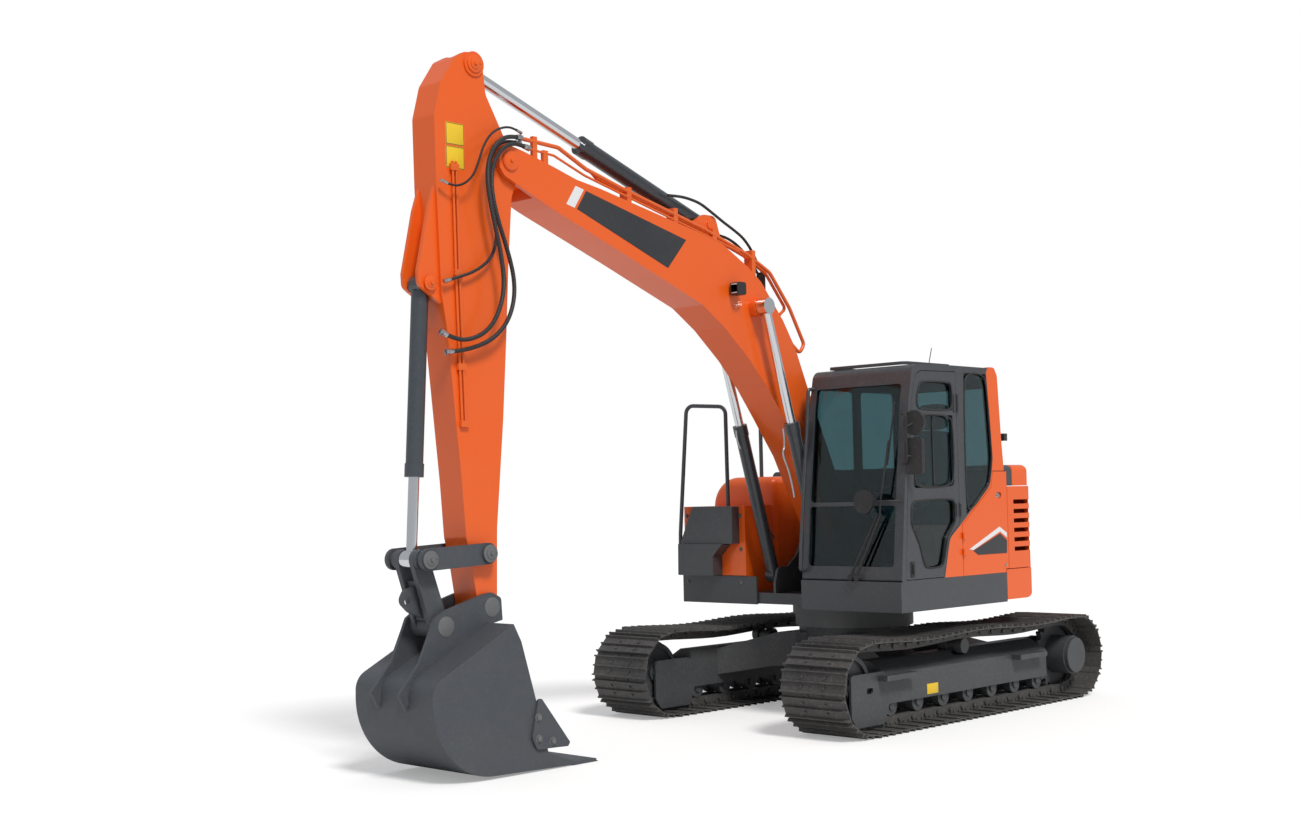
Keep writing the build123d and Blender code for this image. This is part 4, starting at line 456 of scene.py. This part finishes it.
# Hoses from the boom's tip to the arm's side: thickness and control points in metres
HOSES = {
    "hose_outer": (0.030, [
        (0.092, -3.792, 4.318), (0.122, -3.9, 4.31), (0.168, -4.035, 4.262), (0.19, -4.135, 4.17),
        (0.192, -4.182, 4.04), (0.191, -4.17, 3.87), (0.192, -4.12, 3.66), (0.19, -4.065, 3.46),
        (0.188, -4.04, 3.27), (0.185, -4.072, 3.11), (0.178, -4.155, 2.965), (0.165, -4.285, 2.885),
        (0.15, -4.43, 2.865), (0.137, -4.545, 2.915)]),
    "hose_inner": (0.030, [
        (0.094, -3.722, 4.256), (0.104, -3.815, 4.268), (0.13, -3.915, 4.254), (0.149, -4.015, 4.198),
        (0.15, -4.082, 4.105), (0.151, -4.112, 3.99), (0.15, -4.1, 3.86), (0.151, -4.055, 3.7),
        (0.15, -3.975, 3.51), (0.151, -3.918, 3.32), (0.15, -3.922, 3.16), (0.148, -3.985, 3.01),
        (0.142, -4.1, 2.9), (0.132, -4.23, 2.84), (0.12, -4.365, 2.803), (0.11, -4.478, 2.79)]),
    "hose_small": (0.016, [
        (0.07, -3.77, 4.362), (0.088, -3.85, 4.38), (0.118, -3.96, 4.365), (0.15, -4.09, 4.31),
        (0.166, -4.185, 4.205), (0.17, -4.235, 4.08), (0.16, -4.275, 3.98), (0.14, -4.345, 3.915),
        (0.122, -4.425, 3.898), (0.108, -4.5, 3.928)]),
    "hose_middle": (0.022, [
        (0.076, -3.785, 4.285), (0.084, -3.9, 4.288), (0.1, -4.018, 4.23), (0.112, -4.09, 4.11),
        (0.113, -4.102, 3.96), (0.112, -4.083, 3.82), (0.113, -4.042, 3.69), (0.112, -4.04, 3.56),
        (0.111, -4.092, 3.44), (0.109, -4.22, 3.35), (0.106, -4.37, 3.295), (0.102, -4.48, 3.262)]),
}


def curve_points(made):
    """Points along a curve's own line, as Blender draws it."""
    depth = made.data.bevel_depth
    made.data.bevel_depth = 0
    bpy.context.view_layer.update()
    drawn = bpy.data.meshes.new_from_object(made.evaluated_get(bpy.context.evaluated_depsgraph_get()))
    points = [vertex.co.copy() for vertex in drawn.vertices]
    bpy.data.meshes.remove(drawn)
    made.data.bevel_depth = depth
    return points


for label, (thickness, route) in HOSES.items():
    data = bpy.data.curves.new(label + "_line", "CURVE")
    data.dimensions = "3D"
    data.bevel_depth = thickness / 2
    data.bevel_resolution = 4
    data.use_fill_caps = True
    spline = data.splines.new("NURBS")
    spline.points.add(len(route) - 1)
    for point, place_at in zip(spline.points, route):
        point.co = (*place_at, 1)
    spline.order_u = 3
    spline.use_endpoint_u = True
    spline.resolution_u = 10
    data.materials.append(wrapped)
    hose = bpy.data.objects.new(label + "_line", data)
    scene.collection.objects.link(hose)
    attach(hose, "boom")
    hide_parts(label)
    run = curve_points(hose)
    fittings = bmesh.new()
    for tip, inward in ((run[0], run[2]), (run[-1], run[-3])):
        aim = (tip - inward).normalized()
        bar(fittings, tip - aim * 0.045, tip - aim * 0.002, thickness * 0.62, 20, soft=0.002)
        bar(fittings, tip - aim * 0.012, tip + aim * 0.012, thickness * 0.78, 6, soft=0.001)
    ends = piece(fittings, label + "_fittings", steel, "boom")

# Pin ends: turned caps with a keeper bolt, nearly flush on the bucket, where the side links pass.
# Each row is the body, y, z, reach from the boom's middle, radius, slot and material.
BOOM_X = -0.06
PIN_CAPS = (
    ("arm", -4.177, 4.775, 0.130, 0.062, "orange", orange),
    ("boom", -3.894, 4.141, 0.162, 0.07, "orange", orange),
    ("boom", -0.2, 1.42, 0.215, 0.075, "orange", orange),
    ("arm", -4.564, 3.247, 0.109, 0.05, "orange", orange),
    ("arm", -4.17, 1.452, 0.207, 0.06, "iron", iron),
    ("tipping_link", -4.669, 1.43, 0.201, 0.06, "iron", iron),
    ("bucket", -4.121, 1.092, 0.162, 0.066, "iron", iron),
    ("bucket", -4.517, 0.989, 0.162, 0.066, "iron", iron),
)
caps = {}
for body, y, z, reach, radius, slot, material in PIN_CAPS:
    bm = caps.setdefault((body, slot), (bmesh.new(), material))[0]
    for hand in (-1, 1):
        face = Vector((BOOM_X + hand * reach, y, z))
        out = Vector((hand, 0, 0))
        if body == "bucket":
            bar(bm, face - out * 0.003, face + out * 0.0015, radius, 32, soft=0.001)
            continue
        bar(bm, face - out * 0.004, face + out * 0.01, radius, 32, soft=0.003)
        bar(bm, face + out * 0.009, face + out * 0.016, radius * 0.6, 24, soft=0.002)
        bolt(bm, face + out * 0.016, out, 0.012)
        bolt(bm, face + out * 0.009 + Vector((0, radius * 0.74, 0.008)), out, 0.007, False)
for (body, slot), (bm, material) in caps.items():
    piece(bm, f"pin_caps_{body}_{slot}", material, body)

# Stripes and blank plates, each a film's depth proud of the face it lies on
BOOM_FACE, ARM_FACE, SIDE_FACE = BOOM_X + 0.16, BOOM_X + 0.118, 1.2505
FILM = 0.0015
STRIPES = (
    ("boom_dark_stripe", dark_band, "boom", "dark", BOOM_FACE, (
        ((-3.268, 3.877), (-3.175, 4.018), (-2.123, 3.766), (-2.331, 3.532)),)),
    ("boom_white_stripe_end", white_band, "boom", "orange", BOOM_FACE, (
        ((-3.372, 3.902), (-3.278, 4.043), (-3.198, 4.024), (-3.292, 3.883)),)),
    ("side_dark_chevron", dark_band, "left_door", "dark", SIDE_FACE, (
        ((-0.06, 1.322), (0.341, 1.448), (0.442, 1.39), (0.436, 1.285), (0.01, 1.285)),)),
    ("side_white_chevron", white_band, "left_door", "orange", SIDE_FACE, (
        ((0.334, 1.503), (-0.117, 1.335), (-0.06, 1.327), (0.342, 1.464)),
        ((0.334, 1.503), (0.342, 1.464), (0.442, 1.412), (0.442, 1.45)))),
)
for name, material, body, slot, face_x, outlines in STRIPES:
    stripe = bmesh.new()
    for outline in outlines:
        sheet_shape(stripe, [(face_x, y, z) for y, z in outline], (FILM, 0, 0))
    piece(stripe, name, material, body)

PLATE_BACK, PLATE_FRONT, PLATE_HEIGHTS = -4.268, -4.425, ((4.195, 4.345), (4.035, 4.185))
RIM_INSET = 0.004
plates = bmesh.new()
rims = []
for z_low, z_high in PLATE_HEIGHTS:
    block(plates, (ARM_FACE, PLATE_FRONT, z_low), (ARM_FACE + FILM, PLATE_BACK, z_high), 0.0005)
    front, back = PLATE_FRONT + RIM_INSET, PLATE_BACK - RIM_INSET
    low, high = z_low + RIM_INSET, z_high - RIM_INSET
    corners = ((front, low), (back, low), (back, high), (front, high))
    rims.append([(ARM_FACE + FILM, y, z) for y, z in corners])
piece(plates, "arm_yellow_plates", yellow_plate, "arm")
line_piece("arm_plate_rims", rims, 0.0022, dark_band, "arm", closed=True)
small_sign = bmesh.new()
block(small_sign, (1.1352, -0.59, 0.225), (1.1364, -0.44, 0.305), 0.0004)
piece(small_sign, "track_frame_yellow_plate", yellow_plate, "undercarriage")

# Track shoes: a lip under each joint, four bolts on each shoe, and the chain's pin ends
TRACK_X = 1.0
PITCH_R, AXLE_Z, AXLE_Y, SEAT = 0.29, 0.36, 1.517, 0.042
RUN = 2 * AXLE_Y
LOOP = 2 * (RUN + pi * PITCH_R)
COUNT = 46
SHOE_THICKNESS = 0.008
LIP_DEPTH, LIP_HALF = 0.035, Vector((0.294, 0.026, 0.003))


def on_chain(travel):
    """Place and outward direction on the pitch line."""
    travel %= LOOP
    arc = pi * PITCH_R
    if travel < RUN:
        return Vector((0, travel - AXLE_Y, AXLE_Z - PITCH_R)), Vector((0, 0, -1))
    travel -= RUN
    if travel < arc:
        a = travel / PITCH_R
        out = Vector((0, sin(a), -cos(a)))
        return Vector((0, AXLE_Y, AXLE_Z)) + out * PITCH_R, out
    travel -= arc
    if travel < RUN:
        sag = 0.026 * sin(2 * pi * travel / RUN) ** 2
        return Vector((0, AXLE_Y - travel, AXLE_Z + PITCH_R - sag)), Vector((0, 0, 1))
    a = (travel - RUN) / PITCH_R
    out = Vector((0, -sin(a), cos(a)))
    return Vector((0, -AXLE_Y, AXLE_Z)) + out * PITCH_R, out


for hand, label in ((1, "left"), (-1, "right")):
    bolts, pins, lips = bmesh.new(), bmesh.new(), bmesh.new()
    for index in range(COUNT):
        before, _ = on_chain(LOOP / COUNT * (index - 0.5))
        after, lip_out = on_chain(LOOP / COUNT * (index + 0.5))
        forward = (after - before).normalized()
        out = forward.cross(Vector((1, 0, 0)))
        middle = (after + before) / 2
        lip_ahead = Vector((1, 0, 0)).cross(lip_out) * -1
        lip_turn = Matrix((Vector((1, 0, 0)), lip_ahead, lip_out)).transposed()
        lip_middle = after + lip_out * LIP_DEPTH + Vector((hand * TRACK_X, 0, 0))
        block(lips, lip_middle - LIP_HALF, lip_middle + LIP_HALF, 0.001, lip_turn, 1)
        for across in (-0.105, 0.105):
            sideways = Vector((hand * TRACK_X + across, 0, 0))
            for along in (-0.036, 0.036):
                seat = middle + forward * along + out * (SEAT + SHOE_THICKNESS) + sideways
                bar(bolts, seat - out * 0.001, seat + out * 0.009, 0.0115, 6)
        for across in (-0.098, 0.098):
            side_out = Vector((1 if across > 0 else -1, 0, 0))
            sideways = Vector((hand * TRACK_X + across, 0, 0))
            pin = before + sideways
            bar(pins, pin - side_out * 0.01, pin + side_out * 0.014, 0.019, 12)
            for share in (0.3, 0.7):
                link = before + (after - before) * share + sideways + out * 0.022
                bar(pins, link - side_out * 0.01, link + side_out * 0.008, 0.009, 6)
    piece(lips, f"shoe_lips_{label}", track_steel, "undercarriage")
    piece(bolts, f"shoe_bolts_{label}", track_steel, "undercarriage")
    piece(pins, f"chain_pins_{label}", track_steel, "undercarriage")

# Seat: crowned cushions on a dark base with armrests
CROWN = 0.02


def cushion(name, size, tilt, centre):
    """Closed padded form, fuller in the middle than at its seams."""
    bm = bmesh.new()
    bmesh.ops.create_cube(bm, size=1)
    bmesh.ops.subdivide_edges(bm, edges=bm.edges, cuts=7, use_grid_fill=True)
    for vertex in bm.verts:
        x, y, z = vertex.co * 2
        full = (1 - x * x) * (1 - y * y) + (1 - x * x) * (1 - z * z) + (1 - y * y) * (1 - z * z)
        vertex.co *= 1 - 0.10 * (abs(x * y) ** 3 + abs(y * z) ** 3 + abs(x * z) ** 3)
        vertex.co += vertex.co.normalized() * CROWN * full
        if abs(abs(x) - 0.5) < 0.07:
            vertex.co *= 0.985
    bmesh.ops.scale(bm, vec=Vector(size), verts=bm.verts)
    bmesh.ops.rotate(bm, cent=(0, 0, 0), matrix=Matrix.Rotation(tilt, 3, "X"), verts=bm.verts)
    bmesh.ops.translate(bm, vec=centre, verts=bm.verts)
    made = piece(bm, name, weave, "house", 80)
    smooth = made.modifiers.new("rounding", "SUBSURF")
    smooth.levels = smooth.render_levels = 1
    return made


SEAT_X = 0.76
seat_pad = cushion("seat_cushion", (0.5, 0.5, 0.13), -0.05, (SEAT_X, -0.23, 1.62))
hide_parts("seat")
cushion("seat_back", (0.48, 0.14, 0.66), -0.16, (SEAT_X, 0.07, 1.97))
cushion("seat_headrest", (0.28, 0.10, 0.21), -0.16, (SEAT_X, 0.145, 2.42))
base = bmesh.new()
block(base, (SEAT_X - 0.2, -0.42, 1.18), (SEAT_X + 0.2, 0.06, 1.24), 0.01)
block(base, (SEAT_X - 0.17, -0.36, 1.24), (SEAT_X + 0.17, 0.0, 1.5), 0.02)
block(base, (SEAT_X - 0.22, -0.44, 1.5), (SEAT_X + 0.22, 0.02, 1.555), 0.015)
for hand in (-1, 1):
    rest_x = SEAT_X + hand * 0.29
    block(base, (rest_x - 0.04, -0.33, 1.80), (rest_x + 0.04, 0.03, 1.85), 0.015)
piece(base, "seat_base", black_plastic, "house")
shelf = bmesh.new()
block(shelf, (0.42, 0.22, 1.62), (1.12, 0.34, 1.98), 0.02)
for row in range(6):
    block(shelf, (0.5, 0.205, 1.68 + row * 0.045), (1.04, 0.222, 1.7 + row * 0.045), 0.004)
piece(shelf, "cab_back_shelf", black_plastic, "house")

# Window seals along the cut openings
def seal(points, x):
    """Closed route on a side plane."""
    return [(x, y, z) for y, z in points]


DOOR_PANES = (
    [(-0.752, 2.66), (-0.3, 2.666), (-0.3, 2.44), (-0.8, 2.44)],
    [(-0.806, 2.402), (-0.3, 2.402), (-0.3, 1.842), (-0.862, 1.83)],
    [(-0.892, 1.735), (-0.3, 1.742), (-0.3, 1.56), (-0.42, 1.44), (-0.485, 1.215), (-0.735, 1.21),
     (-0.8, 1.4), (-0.905, 1.56)],
)


def doubled(points, share=0.12):
    """Each corner held by two points, so that a smooth line keeps near it."""
    held = []
    for index, point in enumerate(points):
        before, after = points[index - 1], points[(index + 1) % len(points)]
        held.append(tuple(p + (b - p) * share for p, b in zip(point, before)))
        held.append(tuple(p + (a - p) * share for p, a in zip(point, after)))
    return held


line_piece("door_seals", [doubled(seal(pane, 1.2515)) for pane in DOOR_PANES], 0.007, rubber,
           "cab_door", round_corners=True, closed=True)
QUARTER = [(-0.128, 2.748), (0.196, 2.748), (0.256, 2.06), (0.205, 1.85), (-0.142, 1.592)]
line_piece("quarter_seal", [doubled(seal(QUARTER, SIDE_FACE))], 0.007, rubber, "house",
           round_corners=True, closed=True)

# Door handle, divider and latch
trim = bmesh.new()
block(trim, (1.25, -0.925, 1.15), (1.256, -0.875, 1.27), 0.002)
block(trim, (1.254, -0.912, 1.17), (1.268, -0.888, 1.25), 0.004)
block(trim, (1.226, -0.565, 1.85), (1.236, -0.55, 2.4), 0.003)
piece(trim, "door_handle", black_plastic, "cab_door")
latch = bmesh.new()
block(latch, (1.235, 0.305, 1.74), (1.2415, 0.375, 1.78), 0.002)
block(latch, (1.240, 0.32, 1.75), (1.248, 0.36, 1.762), 0.002)
bar(latch, (1.249, 0.42, 1.19), (1.2545, 0.42, 1.19), 0.012, 20, soft=0.001)
piece(latch, "side_door_latch", steel, "left_door")

# Antenna on the cab roof
mast = bmesh.new()
bar(mast, (1.0, -0.24, 2.8), (1.0, -0.24, 2.83), 0.018, 20, soft=0.003)
bar(mast, (1.0, -0.24, 2.83), (1.0, -0.195, 2.962), 0.0035, 10)
piece(mast, "antenna", black_plastic, "house")

# Work lamps
lamp_low, lamp_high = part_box("boom_lamp")
lamp = bmesh.new()
block(lamp, (lamp_low[0] + 0.028, lamp_low[1] + 0.014, lamp_low[2] + 0.012),
      (lamp_high[0] - 0.008, lamp_low[1], lamp_high[2] - 0.012), 0.003)
piece(lamp, "boom_lamp_lens", lens_clear, "boom")
rear_low, rear_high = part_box("rear_lamp")
lamp = bmesh.new()
back_lens, front_lens = rear_high[1], rear_low[1]
for near_y, far_y in ((back_lens - 0.004, back_lens - 0.0005), (front_lens + 0.0005, front_lens + 0.004)):
    block(lamp, (rear_low[0] + 0.01, near_y, 2.218), (rear_high[0] - 0.01, far_y, 2.262), 0.002)
piece(lamp, "rear_lamp_lenses", lens_clear, "house")

# Mirror faces
faces = bmesh.new()
bar(faces, (1.33, -0.9252, 2.33), (1.33, -0.9215, 2.33), 0.086, 40)
block(faces, (1.26, -0.9255, 1.945), (1.40, -0.9222, 2.205), 0.001)
bar(faces, (0.96, -1.0915, 1.733), (0.96, -1.0885, 1.733), 0.082, 40)
piece(faces, "mirror_faces", mirror_face, "house")

# Side cutter bolts on the bucket
cutter = bmesh.new()
for hand in (-1, 1):
    out = Vector((hand, 0, 0))
    plate_face = BOOM_X + hand * 0.43
    for y, z in ((-3.965, 0.36), (-3.965, 0.22), (-3.84, 0.19)):
        bolt(cutter, (plate_face, y, z), out, 0.02)
piece(cutter, "side_cutter_bolts", iron, "bucket")

# Boom cylinder oil pipes
line_piece("boom_cylinder_pipes", [
    [(-0.335, -1.09, 2.34), (-0.335, -1.09, 2.22), (-0.338, -0.9, 2.09), (-0.34, -0.89, 1.98),
     (-0.34, -0.75, 1.55), (-0.335, -0.63, 1.43)],
    [(0.215, -1.15, 2.33), (0.217, -1.13, 2.2), (0.22, -1.18, 2.13), (0.22, -1.08, 1.97),
     (0.216, -1.03, 1.78)],
], 0.009, steel, "boom_barrels", round_corners=True)

# Bolts on the front box
box_bolts = bmesh.new()
box_low, box_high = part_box("front_box")
for x in (box_low[0] + 0.05, box_high[0] - 0.05):
    for z in (box_low[2] + 0.08, (box_low[2] + box_high[2]) / 2, box_high[2] - 0.08):
        bolt(box_bolts, (x, box_low[1] - 0.0005, z), (0, -1, 0), 0.012)
piece(box_bolts, "front_box_bolts", iron, "house")
